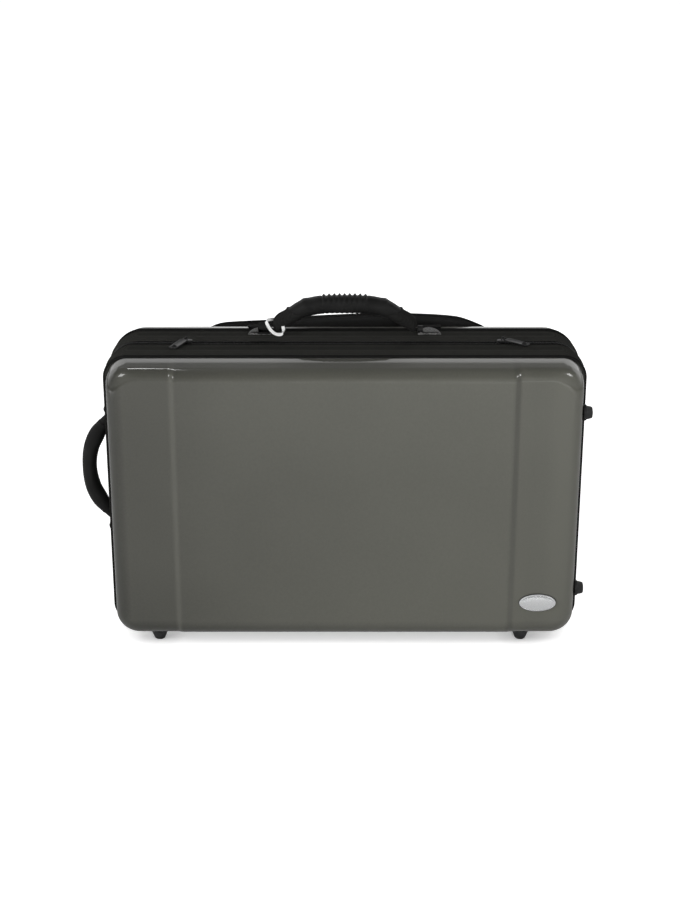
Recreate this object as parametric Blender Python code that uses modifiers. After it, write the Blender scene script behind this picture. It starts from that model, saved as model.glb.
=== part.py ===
"""A rigid two-shell case for trumpets, with a padded zip band, two handles and a harness.

The case frame has X to the right, Y to the back with 0 in the zip plane, and Z up with 0
at the bottom of the band. The whole case then hangs on one empty, which puts the origin
at the bottom centre of its bounding box. Lengths are in metres.
"""
import math
from collections import namedtuple

import bmesh
import bpy
from mathutils import Matrix, Vector

# Driving dimensions of the band
BAND_WIDTH = 0.560
BAND_HEIGHT = 0.344
FRONT_BAND_DEPTH = 0.055
REAR_BAND_DEPTH = 0.053
BAND_WALL = 0.010
FRONT_CORNER_RADIUS = 0.027
REAR_CORNER_RADIUS = 0.040
BAND_CROWN = 0.0022
CORNER_STEPS = 7

# Welt strip that binds each rim
WELT_SEAT = 0.0035
WELT_WIDTH = 0.0092
WELT_PROUD = 0.0024

# Shells
SHELL_INSET = 0.0032
SHELL_WALL = 0.0028
SHELL_DRAFT = math.radians(4.8)
FRONT_SHELL_STRAIGHT = 0.0252
REAR_SHELL_STRAIGHT = 0.012
SHELL_EDGE_RADIUS = 0.014
SHELL_EDGE_STEPS = 5
FRONT_SHELL_CORNERS = (0.025, 0.028)
REAR_SHELL_CORNERS = (0.037, 0.038)
PANEL_FLAT_HALF = 0.193
PANEL_STEP_WIDTH = 0.008
PANEL_RAISE = 0.0035

# Zip
ZIP_TAPE_WIDTH = 0.0072
ZIP_TAPE_INSET = 0.0028
ZIP_TAPE_THICKNESS = 0.0014
ZIP_COIL_INSET = 0.0009
ZIP_COIL_WIDTH = 0.0026
ZIP_COIL_EASE = 0.0006
ZIP_CLOSED_HALF_GAP = 0.0009
ZIP_OPEN_HALF_GAP = 0.0018
SLIDER_HOME = 0.186
SLIDER_LENGTH = 0.014
SLIDER_WIDTH = 0.0096
SLIDER_PLATE = 0.0016
SLIDER_NECK_HALF = 0.0005
LUG_THICKNESS = 0.0016
LUG_LENGTH = 0.0050
LUG_HEIGHT = 0.0042
LUG_HOLE_RADIUS = 0.0011
PULL_LENGTH = 0.034
PULL_WIDTH = 0.0080
PULL_THICKNESS = 0.0016
PULL_PIN_RADIUS = 0.0007
PULL_EYE_RADIUS = 0.0020
PULL_DROOP = math.radians(3.0)
LEFT_PULL_TURN = math.radians(205.0)
RIGHT_PULL_TURN = math.radians(124.0)

# Hinge fabric along the bottom
HINGE_PLY = 0.0030
HINGE_END = 0.232

# Handles: each row is a station along it, the height of its centre there, its half
# thickness and its half width
HANDLE_AXIS_HEIGHT = 0.0050
HANDLE_Y = 0.029
TOP_STATIONS = (
    (0.000, 0.0364, 0.0104, 0.0130),
    (0.030, 0.0352, 0.0102, 0.0130),
    (0.050, 0.0300, 0.0098, 0.0124),
    (0.066, 0.0210, 0.0082, 0.0100),
    (0.0765, 0.0140, 0.0082, 0.0062),
    (0.0822, 0.0054, 0.0040, 0.0038),
)
TOP_GRIP_HALF = 0.065
TOP_RIB_HEIGHT = 0.0010
TOP_RIB_PITCH = 0.0060
TOP_RIB_COUNT = 9
GRIP_WALL = 0.0032
HANDLE_PIN_RADIUS = 0.0015

# Half-moon anchor plates of the top handle
PLATE_INNER = 0.0868
PLATE_RADIUS = 0.0138
PLATE_DEPTH = 0.026
PLATE_HEIGHT = 0.0034
PLATE_FRONT = 0.022
KNUCKLE_RADIUS = 0.0044
KNUCKLE_LENGTH = 0.0060

SIDE_HANDLE_Z = 0.1735
SIDE_HANDLE_Y = 0.027
SIDE_STATIONS = (
    (0.000, 0.0316, 0.0086, 0.0110),
    (0.025, 0.0284, 0.0094, 0.0105),
    (0.043, 0.0205, 0.0098, 0.0085),
    (0.057, 0.0115, 0.0068, 0.0060),
    (0.0675, 0.0050, 0.0038, 0.0038),
)
SIDE_TAB_START = 0.0716
SIDE_TAB_LENGTH = 0.024
SIDE_TAB_WIDTH = 0.024
SIDE_TAB_HEIGHT = 0.0105

# Tag loop on the left end of the top handle
TAG_STATION = 0.0785
TAG_WIDTH = 0.0026
TAG_THICKNESS = 0.0006
TAG_SLACK = 0.0032

# Feet, on both shells
BOTTOM_FOOT_X = (-0.2235, 0.2125)
BOTTOM_FOOT_REACH = 0.0115
BOTTOM_FOOT_RADIUS = 0.011
BOTTOM_FOOT_TIP = 0.0068
END_FOOT_Z = (0.0555, 0.280)
END_FOOT_REACH = 0.0056
END_FOOT_RADIUS = 0.0080
END_FOOT_TIP = 0.0060
REAR_FOOT_RADIUS = 0.0075
REAR_FOOT_TIP = 0.0055
FRONT_FOOT_FROM_RIM = 0.013
REAR_FOOT_FROM_RIM = 0.0082
FOOT_STEPS = 16
FOOT_EASE = 0.0008
FOOT_SKIRT = 0.0024
FOOT_WAIST_RADIUS = 0.0032
FOOT_BARB_RADIUS = 0.0046

# Badge on the front shell
BADGE_FROM_PANEL = 0.00625
BADGE_Z = 0.048
BADGE_WIDTH = 0.0435
BADGE_HEIGHT = 0.022
BADGE_THICKNESS = 0.0018

# Harness on the back
HARNESS_STANDOFF = 0.0024
YOKE_THICKNESS = 0.014
YOKE_TOP = (
    (-0.170, 0.326), (-0.151, 0.3348), (-0.119, 0.3375), (-0.091, 0.339), (-0.040, 0.344), (0.040, 0.3475),
    (0.092, 0.3467), (0.127, 0.3445), (0.146, 0.3408), (0.172, 0.330),
)
YOKE_BOTTOM = 0.276
YOKE_CROWN = 0.005
STRAP_X = 0.098
STRAP_WIDTH = 0.066
STRAP_THICKNESS = 0.011
STRAP_CROWN = 0.004
PAD_BORDER = 0.011
STRAP_BOTTOM = 0.118
STRAP_TAPER = 0.040
WEB_THICKNESS = 0.0016
WEB_WIDTH = 0.024
ANCHOR_WEB_X = 0.104
LOCK_WIDTH = 0.034
LOCK_HEIGHT = 0.030
LOCK_THICKNESS = 0.0030
RING_Z = 0.062
RING_INNER_HEIGHT = 0.012
RING_WIRE_RADIUS = 0.0019
RING_TAB_LENGTH = 0.026
TAB_RIVET_RADIUS = 0.0018
TAB_RIVET_HEAD = 0.0042
TAB_RIVET_HEAD_HEIGHT = 0.0014
TAB_RIVET_STEPS = 10

# Lining
PAD_THICKNESS = 0.012
FACE_PAD_INSET = 0.022
LINING_FROM_ZIP = 0.004
DIVIDER_THICKNESS = 0.006
BAY_HEIGHT = 0.125
HOLD_STRAP_WIDTH = 0.038
HOLD_STRAP_THICKNESS = 0.0022
HOLD_STRAP_X = 0.140

# Running gap between pieces that touch
GAP = 0.0003

HALF_WIDTH = BAND_WIDTH / 2
HALF_HEIGHT = BAND_HEIGHT / 2
PANEL_EDGE_HALF = PANEL_FLAT_HALF + PANEL_STEP_WIDTH
BADGE_X = PANEL_EDGE_HALF + BADGE_FROM_PANEL + BADGE_WIDTH / 2
SHELL_EDGE_RISE = SHELL_EDGE_RADIUS * (1 - math.sin(SHELL_DRAFT))
FRONT_FACE_Y = -FRONT_BAND_DEPTH - FRONT_SHELL_STRAIGHT - SHELL_EDGE_RISE
REAR_FACE_Y = REAR_BAND_DEPTH + REAR_SHELL_STRAIGHT + SHELL_EDGE_RISE
REAR_PANEL_Y = REAR_FACE_Y + PANEL_RAISE
HARNESS_Y = REAR_PANEL_Y + HARNESS_STANDOFF
HINGE_Z = 0.0
TOP_AXIS_Z = BAND_HEIGHT + HANDLE_AXIS_HEIGHT
SIDE_AXIS_X = -HALF_WIDTH - HANDLE_AXIS_HEIGHT
ZIP_TAPE_UNDER = ZIP_TAPE_INSET + ZIP_TAPE_THICKNESS
SLIDER_TOP_Z = BAND_HEIGHT - ZIP_COIL_INSET + GAP + SLIDER_PLATE
LUG_HOLE_Z = SLIDER_TOP_Z + LUG_HEIGHT / 2
LINING_INSET = BAND_WALL + GAP

# Reach of the whole case from the case frame, which sets the origin
REACH_LEFT = -HALF_WIDTH - SIDE_STATIONS[0][1] - SIDE_STATIONS[0][2]
REACH_RIGHT = HALF_WIDTH + END_FOOT_REACH
REACH_FRONT = FRONT_FACE_Y - PANEL_RAISE
REACH_BACK = HARNESS_Y + YOKE_THICKNESS
ORIGIN = Vector(((REACH_LEFT + REACH_RIGHT) / 2, (REACH_FRONT + REACH_BACK) / 2, -BOTTOM_FOOT_REACH))

for old in list(bpy.data.objects):
    bpy.data.objects.remove(old, do_unlink=True)

case_parts = bpy.data.collections.new("trumpet_case")
bpy.context.scene.collection.children.link(case_parts)
cutters = bpy.data.collections.new("cutters")
bpy.context.scene.collection.children.link(cutters)


def material(name, colour, roughness, metallic=0.0):
    made = bpy.data.materials.new(name)
    made.use_nodes = True
    shader = made.node_tree.nodes["Principled BSDF"]
    shader.inputs["Base Color"].default_value = (*colour, 1.0)
    shader.inputs["Roughness"].default_value = roughness
    shader.inputs["Metallic"].default_value = metallic
    return made


SHELL_GREY = material("shell_grey", (0.13, 0.13, 0.12), 0.25, 0.3)
BAND_FABRIC = material("band_fabric", (0.022, 0.022, 0.020), 0.85)
WELT_FABRIC = material("welt_fabric", (0.012, 0.012, 0.012), 0.7)
ZIP_FABRIC = material("zip_fabric", (0.010, 0.010, 0.010), 0.8)
BLACK_METAL = material("black_metal", (0.03, 0.03, 0.03), 0.4, 0.9)
MOULDED_RUBBER = material("moulded_rubber", (0.013, 0.013, 0.012), 0.5)
WEBBING = material("webbing", (0.014, 0.014, 0.014), 0.8)
PLATE_GREY = material("plate_grey", (0.18, 0.18, 0.17), 0.6)
WHITE_NYLON = material("white_nylon", (0.75, 0.75, 0.74), 0.5)
BRIGHT_STEEL = material("bright_steel", (0.6, 0.6, 0.6), 0.25, 1.0)
CHROME = material("chrome", (0.75, 0.75, 0.76), 0.12, 1.0)
BLACK_PLASTIC = material("black_plastic", (0.02, 0.02, 0.02), 0.45)
PAD_FABRIC = material("pad_fabric", (0.018, 0.018, 0.018), 0.8)
LINING_PLUSH = material("lining_plush", (0.05, 0.05, 0.055), 0.95)


# Placing
def pivot(name, place, parent=None):
    """An empty at a place in the case frame, on the axis of what it carries."""
    empty = bpy.data.objects.new(name, None)
    case_parts.objects.link(empty)
    empty.parent = parent
    origin = Vector(parent["case_place"]) if parent else ORIGIN
    empty.location = Vector(place) - origin
    empty["case_place"] = list(place)
    return empty


def add(name, bm, finish, carrier, at=(0.0, 0.0, 0.0)):
    """An object whose mesh is made round `at`, a place in the case frame."""
    mesh = bpy.data.meshes.new(name)
    bm.to_mesh(mesh)
    bm.free()
    mesh.materials.append(finish)
    obj = bpy.data.objects.new(name, mesh)
    case_parts.objects.link(obj)
    obj.parent = carrier
    obj.location = Vector(at) - Vector(carrier["case_place"])
    return obj


def hang(obj, name, finish, carrier, at):
    """Gives a finished primitive or curve object its name, material and place."""
    for home in list(obj.users_collection):
        home.objects.unlink(obj)
    case_parts.objects.link(obj)
    obj.name = name
    obj.data.name = name
    obj.data.materials.append(finish)
    obj.parent = carrier
    obj.location = Vector(at) - Vector(carrier["case_place"])
    return obj


def case_mesh(bm, carrier):
    """Moves a mesh made in the case frame so that its origin is the carrier's pivot."""
    bmesh.ops.translate(bm, verts=bm.verts, vec=-Vector(carrier["case_place"]))
    return carrier["case_place"]


def add_in_case(name, bm, finish, carrier):
    return add(name, bm, finish, carrier, case_mesh(bm, carrier))


def outward(bm):
    bmesh.ops.recalc_face_normals(bm, faces=bm.faces)
    return bm


# Shapes
def loft(sections, closed=False, cap_start=True, cap_end=True):
    """Quads between like sections, each a ring of points; closed joins last to first."""
    bm = bmesh.new()
    rings = [[bm.verts.new(point) for point in section] for section in sections]
    pairs = list(zip(rings, rings[1:]))
    if closed:
        pairs.append((rings[-1], rings[0]))
    for low, high in pairs:
        count = len(low)
        for i in range(count):
            j = (i + 1) % count
            bm.faces.new((low[i], low[j], high[j], high[i]))
    if not closed and cap_start:
        bm.faces.new(list(reversed(rings[0])))
    if not closed and cap_end:
        bm.faces.new(rings[-1])
    return outward(bm)


def rounded_outline(half_width, half_height, radius, top_stations=()):
    """(x, z) points of a rounded rectangle round the band's centre, from the bottom run's
    left end up the left side and over the top to the bottom run's right end."""
    points = []
    turns = ((-1, -1, 270), (-1, 1, 180), (1, 1, 90), (1, -1, 0))
    for side, level, start in turns:
        centre_x = side * (half_width - radius)
        centre_z = level * (half_height - radius)
        if (side, level) == (1, 1):
            points += [(x, half_height) for x in top_stations]
        for step in range(CORNER_STEPS + 1):
            angle = math.radians(start - 90 * step / CORNER_STEPS)
            points.append((centre_x + radius * math.cos(angle), centre_z + radius * math.sin(angle)))
    return [(x, z + HALF_HEIGHT) for x, z in points]


def band_corner(y):
    share = (y + FRONT_BAND_DEPTH) / (FRONT_BAND_DEPTH + REAR_BAND_DEPTH)
    return FRONT_CORNER_RADIUS + share * (REAR_CORNER_RADIUS - FRONT_CORNER_RADIUS)


def band_ring(inset, y, top_stations=()):
    """One ring round the band, `inset` under its outer outline."""
    radius = band_corner(y) - inset
    outline = rounded_outline(HALF_WIDTH - inset, HALF_HEIGHT - inset, radius, top_stations)
    return [Vector((x, y, z)) for x, z in outline]


def block(size, centre, bevel=0.0):
    bm = bmesh.new()
    bmesh.ops.create_cube(bm, size=1.0)
    bmesh.ops.scale(bm, vec=size, verts=bm.verts)
    if bevel:
        bmesh.ops.bevel(bm, geom=bm.edges, offset=bevel, segments=2, profile=0.5, affect="EDGES", material=-1)
    bmesh.ops.translate(bm, vec=centre, verts=bm.verts)
    return outward(bm)


def rod(start, end, radius, steps=12):
    start = Vector(start)
    end = Vector(end)
    along = end - start
    bm = bmesh.new()
    bmesh.ops.create_cone(
        bm, cap_ends=True, segments=steps, radius1=radius, radius2=radius, depth=along.length)
    turn = along.to_track_quat("Z", "Y").to_matrix().to_4x4()
    bmesh.ops.transform(bm, verts=bm.verts, matrix=Matrix.Translation((start + end) / 2) @ turn)
    return bm


def gather(*parts):
    """Several bmeshes as one, each still a separate body."""
    whole = bmesh.new()
    for part in parts:
        mesh = bpy.data.meshes.new("part")
        part.to_mesh(mesh)
        part.free()
        whole.from_mesh(mesh)
        bpy.data.meshes.remove(mesh)
    return whole


def boolean(obj, bm, operation):
    """Cuts or joins obj with a hidden object made from bm in the case frame."""
    mesh = bpy.data.meshes.new(obj.name + "_tool")
    bm.to_mesh(mesh)
    bm.free()
    tool = bpy.data.objects.new(obj.name + "_tool", mesh)
    cutters.objects.link(tool)
    tool.location = -ORIGIN
    tool.hide_render = True
    tool.display_type = "WIRE"
    step = obj.modifiers.new(operation.lower(), "BOOLEAN")
    step.operation = operation
    step.solver = "EXACT"
    step.object = tool
    return tool


def extruded(points, along, thickness):
    """A flat outline pushed along a vector's direction by thickness, centred on the outline."""
    push = Vector(along).normalized() * thickness
    bm = bmesh.new()
    face = bm.faces.new([bm.verts.new(Vector(point) - push / 2) for point in points])
    grown = bmesh.ops.extrude_face_region(bm, geom=[face])
    moved = [item for item in grown["geom"] if isinstance(item, bmesh.types.BMVert)]
    bmesh.ops.translate(bm, verts=moved, vec=push)
    return outward(bm)


def smooth_round(obj, degrees=35.0):
    obj.data.shade_smooth()
    obj.data.set_sharp_from_angle(angle=math.radians(degrees))
    return obj


# Bodies
case = pivot("case", (0.0, 0.0, 0.0))
lid = pivot("lid", (0.0, 0.0, HINGE_Z), case)
top_handle = pivot("top_handle", (0.0, HANDLE_Y, TOP_AXIS_Z), case)
side_handle = pivot("side_handle", (SIDE_AXIS_X, SIDE_HANDLE_Y, SIDE_HANDLE_Z), case)
Half = namedtuple("Half", "name side depth straight corners foot_from_rim carrier")
FRONT = Half(
    "front", -1, FRONT_BAND_DEPTH, FRONT_SHELL_STRAIGHT, FRONT_SHELL_CORNERS, FRONT_FOOT_FROM_RIM, lid)
REAR = Half("rear", 1, REAR_BAND_DEPTH, REAR_SHELL_STRAIGHT, REAR_SHELL_CORNERS, REAR_FOOT_FROM_RIM, case)
SIDES = (("left", -1), ("right", 1))


# Bands and welts
def make_band(half):
    rim = half.depth - GAP
    welt_end = half.depth - WELT_WIDTH
    zip_edge = ZIP_TAPE_WIDTH + GAP
    middle = (welt_end + zip_edge) / 2
    profile = (
        (BAND_WALL, rim), (WELT_SEAT, rim), (WELT_SEAT, welt_end), (BAND_CROWN, welt_end - 0.001),
        (BAND_CROWN / 4, (welt_end + middle) / 2), (0.0, middle), (BAND_CROWN / 4, (middle + zip_edge) / 2),
        (BAND_CROWN, zip_edge), (BAND_WALL, zip_edge),
    )
    rings = [band_ring(inset, half.side * y) for inset, y in profile]
    return smooth_round(add_in_case(half.name + "_band", loft(rings, closed=True), BAND_FABRIC, half.carrier))


def make_welt(half):
    seat = WELT_SEAT - GAP
    crown = seat - WELT_PROUD
    outer = half.depth - GAP
    inner = half.depth - WELT_WIDTH + GAP
    ease = 0.0014
    profile = (
        (seat, outer), (crown + ease / 2, outer), (crown, outer - ease),
        (crown, inner + ease), (crown + ease / 2, inner), (seat, inner),
    )
    rings = [band_ring(inset, half.side * y) for inset, y in profile]
    return smooth_round(add_in_case(half.name + "_welt", loft(rings, closed=True), WELT_FABRIC, half.carrier))


# Shells
def wall_inset(from_rim):
    """How far the shell's drafted wall lies under the band's outline at a distance from the rim."""
    return SHELL_INSET + from_rim * math.tan(SHELL_DRAFT)


def shell_ring(half, inset, y, turn):
    at_rim, at_face = half.corners
    radius = at_rim + turn * (at_face - at_rim)
    outline = rounded_outline(HALF_WIDTH - inset, HALF_HEIGHT - inset, radius)
    return [Vector((x, y, z)) for x, z in outline]


def shell_surface(half):
    """The outer surface: a drafted wall from the rim, a rounded edge and the face. The wall's
    rim is square to it, so it starts one more gap away from the band."""
    rings = [shell_ring(half, SHELL_INSET, half.side * (half.depth + GAP), 0.0)]
    for step in range(SHELL_EDGE_STEPS + 1):
        angle = SHELL_DRAFT + (math.pi / 2 - SHELL_DRAFT) * step / SHELL_EDGE_STEPS
        inset = wall_inset(half.straight) + SHELL_EDGE_RADIUS * (math.cos(SHELL_DRAFT) - math.cos(angle))
        rise = SHELL_EDGE_RADIUS * (math.sin(angle) - math.sin(SHELL_DRAFT))
        y = half.side * (half.depth + half.straight + rise)
        rings.append(shell_ring(half, inset, y, 0.5 + 0.5 * step / SHELL_EDGE_STEPS))
    return loft(rings, cap_start=False)


def raise_panel(bm, half):
    """Cuts the surface along both edges of each step and lifts what lies between."""
    for x in (-PANEL_EDGE_HALF, -PANEL_FLAT_HALF, PANEL_FLAT_HALF, PANEL_EDGE_HALF):
        everything = list(bm.verts) + list(bm.edges) + list(bm.faces)
        bmesh.ops.bisect_plane(bm, geom=everything, dist=1e-6, plane_co=(x, 0, 0), plane_no=(1, 0, 0))
    slope = PANEL_EDGE_HALF - PANEL_FLAT_HALF
    for vert in bm.verts:
        across = min(1.0, max(0.0, (PANEL_EDGE_HALF - abs(vert.co.x)) / slope))
        turned = (half.side * vert.co.y - half.depth - half.straight) / SHELL_EDGE_RISE
        vert.co.y += half.side * PANEL_RAISE * across * min(1.0, max(0.0, turned))


def hole(place, way, radius, steps):
    """A cutter through the wall at a place, with clearance round what fills the hole."""
    through = 4 * SHELL_WALL * way
    return rod(place + through, place - through, radius + GAP, steps)


def make_shell(half):
    bm = shell_surface(half)
    raise_panel(bm, half)
    outward(bm)
    face = max(bm.faces, key=lambda f: f.calc_area())
    if face.normal.y * half.side < 0:
        bmesh.ops.reverse_faces(bm, faces=bm.faces)
    shell = add_in_case(half.name + "_shell", bm, SHELL_GREY, half.carrier)
    wall = shell.modifiers.new("wall", "SOLIDIFY")
    wall.thickness = SHELL_WALL
    wall.offset = -1.0
    wall.use_even_offset = True
    holes = [hole(foot.seat, foot.out, FOOT_WAIST_RADIUS, FOOT_STEPS) for foot in feet_of(half)]
    if half is REAR:
        for x, z in tab_rivet_places():
            place = Vector((x, REAR_PANEL_Y, z))
            holes.append(hole(place, Vector((0, 1, 0)), TAB_RIVET_RADIUS, TAB_RIVET_STEPS))
    boolean(shell, gather(*holes), "DIFFERENCE")
    return smooth_round(shell)


# Feet
Foot = namedtuple("Foot", "label seat out height base tip")


def feet_of(half):
    """Each foot's seat on its shell wall, the way it points, its height and its radii."""
    y = half.side * (half.depth + half.foot_from_rim)
    inset = wall_inset(half.foot_from_rim)
    bottom_size = (BOTTOM_FOOT_RADIUS, BOTTOM_FOOT_TIP)
    end_size = (END_FOOT_RADIUS, END_FOOT_TIP)
    if half is REAR:
        bottom_size = end_size = (REAR_FOOT_RADIUS, REAR_FOOT_TIP)
    down = Vector((0, 0, -1))
    right = Vector((1, 0, 0))
    feet = []
    for label, x in zip(("left", "right"), BOTTOM_FOOT_X):
        seat = Vector((x, y, inset))
        feet.append(Foot("foot_" + label, seat, down, inset + BOTTOM_FOOT_REACH, *bottom_size))
    for label, z in zip(("lower", "upper"), END_FOOT_Z):
        seat = Vector((HALF_WIDTH - inset, y, z))
        feet.append(Foot("end_foot_" + label, seat, right, inset + END_FOOT_REACH, *end_size))
    return feet


def make_foot(half, foot):
    """A rubber bumper whose waist fills a hole in the shell, with a barb that holds it inside.
    It is turned round the hole's axis, and a slanted ring clears the drafted wall out of it."""
    inset = wall_inset(half.foot_from_rim)
    shoulder = -SHELL_WALL - 3 * GAP
    lining = -(LINING_INSET - inset - GAP)
    middle = -SHELL_WALL / 2
    profile = (
        (0.0, foot.height), (foot.tip, foot.height), (foot.tip + FOOT_EASE, foot.height - FOOT_EASE),
        (foot.base - FOOT_EASE, FOOT_SKIRT), (foot.base, FOOT_SKIRT / 2), (foot.base, middle),
        (FOOT_BARB_RADIUS, middle), (FOOT_BARB_RADIUS, shoulder), (FOOT_WAIST_RADIUS * 0.6, lining),
        (0.0, lining),
    )
    bm = bmesh.new()
    verts = [bm.verts.new((radius, 0.0, level)) for radius, level in profile]
    for upper, lower in zip(verts, verts[1:]):
        bm.edges.new((upper, lower))
    obj = add(f"{half.name}_{foot.label}", bm, MOULDED_RUBBER, half.carrier, foot.seat)
    obj.rotation_mode = "QUATERNION"
    obj.rotation_quaternion = foot.out.to_track_quat("Z", "Y")
    turn = obj.modifiers.new("turn", "SCREW")
    turn.steps = FOOT_STEPS
    turn.render_steps = FOOT_STEPS
    turn.use_merge_vertices = True
    turn.merge_threshold = 0.00001
    boolean(obj, wall_clearance(half, foot), "DIFFERENCE")
    return obj


def wall_clearance(half, foot):
    """A ring round the foot's waist that follows both faces of the drafted wall."""
    to_face = Vector((0, half.side, 0))
    across = foot.out.cross(to_face)
    wide = foot.base + 4 * GAP
    inside = -SHELL_WALL - GAP
    corners = ((FOOT_WAIST_RADIUS, GAP), (wide, GAP), (wide, inside), (FOOT_WAIST_RADIUS, inside))
    rings = []
    for radius, level in corners:
        ring = []
        for i in range(FOOT_STEPS):
            angle = 2 * math.pi * (i + 0.5) / FOOT_STEPS
            along = radius * math.cos(angle)
            sideways = radius * math.sin(angle)
            drop = level - along * math.tan(SHELL_DRAFT)
            ring.append(foot.seat + foot.out * drop + to_face * along + across * sideways)
        rings.append(ring)
    return loft(rings, closed=True)


# Zip
def make_zip(half):
    """Tape and coil from one bottom corner over the top to the other. Between the sliders the
    two coils stand apart, and outside them they are drawn together."""
    inner_x = SLIDER_HOME - SLIDER_LENGTH / 2
    outer_x = SLIDER_HOME + SLIDER_LENGTH / 2
    stations = (-outer_x, -inner_x, inner_x, outer_x)
    profile = (
        (ZIP_TAPE_UNDER, ZIP_TAPE_WIDTH, 0), (ZIP_TAPE_INSET, ZIP_TAPE_WIDTH, 0),
        (ZIP_TAPE_INSET, ZIP_COIL_WIDTH, 1), ((ZIP_COIL_INSET + ZIP_TAPE_INSET) / 2, ZIP_COIL_WIDTH, 1),
        (ZIP_COIL_INSET, ZIP_COIL_WIDTH * 0.6, 1), (ZIP_COIL_INSET + ZIP_COIL_EASE, 0.0, 1),
        (ZIP_TAPE_UNDER, 0.0, 1),
    )
    rings = [band_ring(inset, half.side * ZIP_TAPE_WIDTH, stations) for inset, _, _ in profile]
    sections = []
    for i in range(len(rings[0])):
        at_top = rings[0][i].z > BAND_HEIGHT - ZIP_TAPE_UNDER - 1e-6
        parted = at_top and abs(rings[0][i].x) < inner_x + 1e-6
        half_gap = ZIP_OPEN_HALF_GAP if parted else ZIP_CLOSED_HALF_GAP
        section = []
        for ring, (_, y, near_teeth) in zip(rings, profile):
            section.append(Vector((ring[i].x, half.side * (y + near_teeth * half_gap), ring[i].z)))
        sections.append(section)
    return add_in_case(half.name + "_zip_tape", loft(sections), ZIP_FABRIC, half.carrier)


def make_hinge_leaf(half):
    width = ZIP_TAPE_WIDTH - GAP
    centre = (0.0, half.side * (GAP / 2 + width / 2), HINGE_Z + ZIP_COIL_INSET + HINGE_PLY / 2)
    leaf = block((2 * HINGE_END, width - GAP / 2, HINGE_PLY), centre)
    return add_in_case(half.name + "_hinge_leaf", leaf, WEBBING, half.carrier)


def make_slider(name, side):
    """An I-section with a plate over and under the coils, and a lug that holds the pull."""
    x = side * SLIDER_HOME
    turn = LEFT_PULL_TURN if side < 0 else RIGHT_PULL_TURN
    carrier = pivot(f"slider_{name}", (x, 0.0, SLIDER_TOP_Z), case)
    plate_low = SLIDER_TOP_Z - SLIDER_PLATE
    under_high = BAND_HEIGHT - ZIP_TAPE_UNDER - GAP
    under_low = under_high - SLIDER_PLATE
    half = SLIDER_WIDTH / 2
    neck = SLIDER_NECK_HALF
    outline = (
        (-half, SLIDER_TOP_Z), (half, SLIDER_TOP_Z), (half, plate_low), (neck, plate_low), (neck, under_high),
        (half, under_high), (half, under_low), (-half, under_low), (-half, under_high), (-neck, under_high),
        (-neck, plate_low), (-half, plate_low),
    )
    body = extruded([(x, y, z) for y, z in outline], (1, 0, 0), SLIDER_LENGTH)
    slider = add_in_case(f"zip_slider_{name}", body, BLACK_METAL, carrier)
    pull_way = Vector((math.sin(turn), math.cos(turn), 0.0))
    axis = Vector((math.cos(turn), -math.sin(turn), 0.0))
    root = Vector((x, 0.0, 0.0))
    low = SLIDER_TOP_Z - SLIDER_PLATE / 2
    high = SLIDER_TOP_Z + LUG_HEIGHT
    shoulder = high - LUG_LENGTH / 5
    corners = (
        (-LUG_LENGTH / 2, low), (-LUG_LENGTH / 2, shoulder), (-LUG_LENGTH / 4, high), (LUG_LENGTH / 4, high),
        (LUG_LENGTH / 2, shoulder), (LUG_LENGTH / 2, low),
    )
    lug = extruded([root + pull_way * s + Vector((0, 0, z)) for s, z in corners], axis, LUG_THICKNESS)
    boolean(slider, lug, "UNION")
    centre = root + Vector((0, 0, LUG_HOLE_Z))
    through = axis * SLIDER_WIDTH / 2
    boolean(slider, rod(centre - through, centre + through, LUG_HOLE_RADIUS, 10), "DIFFERENCE")
    make_pull(name, centre, pull_way, axis, carrier)
    return slider


def make_pull(name, centre, way, axis, slider):
    """A flat tongue, forked round the lug, with the fork's pin in the lug's hole."""
    carrier = pivot(f"pull_{name}", centre, slider)
    droop = Matrix.Rotation(PULL_DROOP, 3, axis)
    if (droop @ way).z > way.z:
        droop = Matrix.Rotation(-PULL_DROOP, 3, axis)
    run = droop @ way
    normal = run.cross(axis).normalized()
    half = PULL_WIDTH / 2
    slot = LUG_THICKNESS / 2 + GAP
    slot_end = LUG_LENGTH / 2 + LUG_HEIGHT / 2
    fork = half * 0.62
    back = -PULL_THICKNESS
    waist = slot_end + half / 2
    shoulder = slot_end + 1.5 * half
    outline = (
        (back, slot), (back, fork), (waist, fork), (shoulder, half), (PULL_LENGTH - half, half),
        (PULL_LENGTH - half * 0.3, half * 0.7), (PULL_LENGTH, 0.0), (PULL_LENGTH - half * 0.3, -half * 0.7),
        (PULL_LENGTH - half, -half), (shoulder, -half), (waist, -fork), (back, -fork),
        (back, -slot), (slot_end, -slot), (slot_end, slot),
    )
    points = [centre + run * s + axis * w for s, w in outline]
    pull = add_in_case(f"zip_pull_{name}", extruded(points, normal, PULL_THICKNESS), BLACK_METAL, carrier)
    pin_half = fork - GAP
    boolean(pull, rod(centre - axis * pin_half, centre + axis * pin_half, PULL_PIN_RADIUS, 10), "UNION")
    eye = centre + run * (PULL_LENGTH - half)
    through = normal * PULL_THICKNESS
    boolean(pull, rod(eye - through, eye + through, PULL_EYE_RADIUS, 12), "DIFFERENCE")
    return pull


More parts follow.
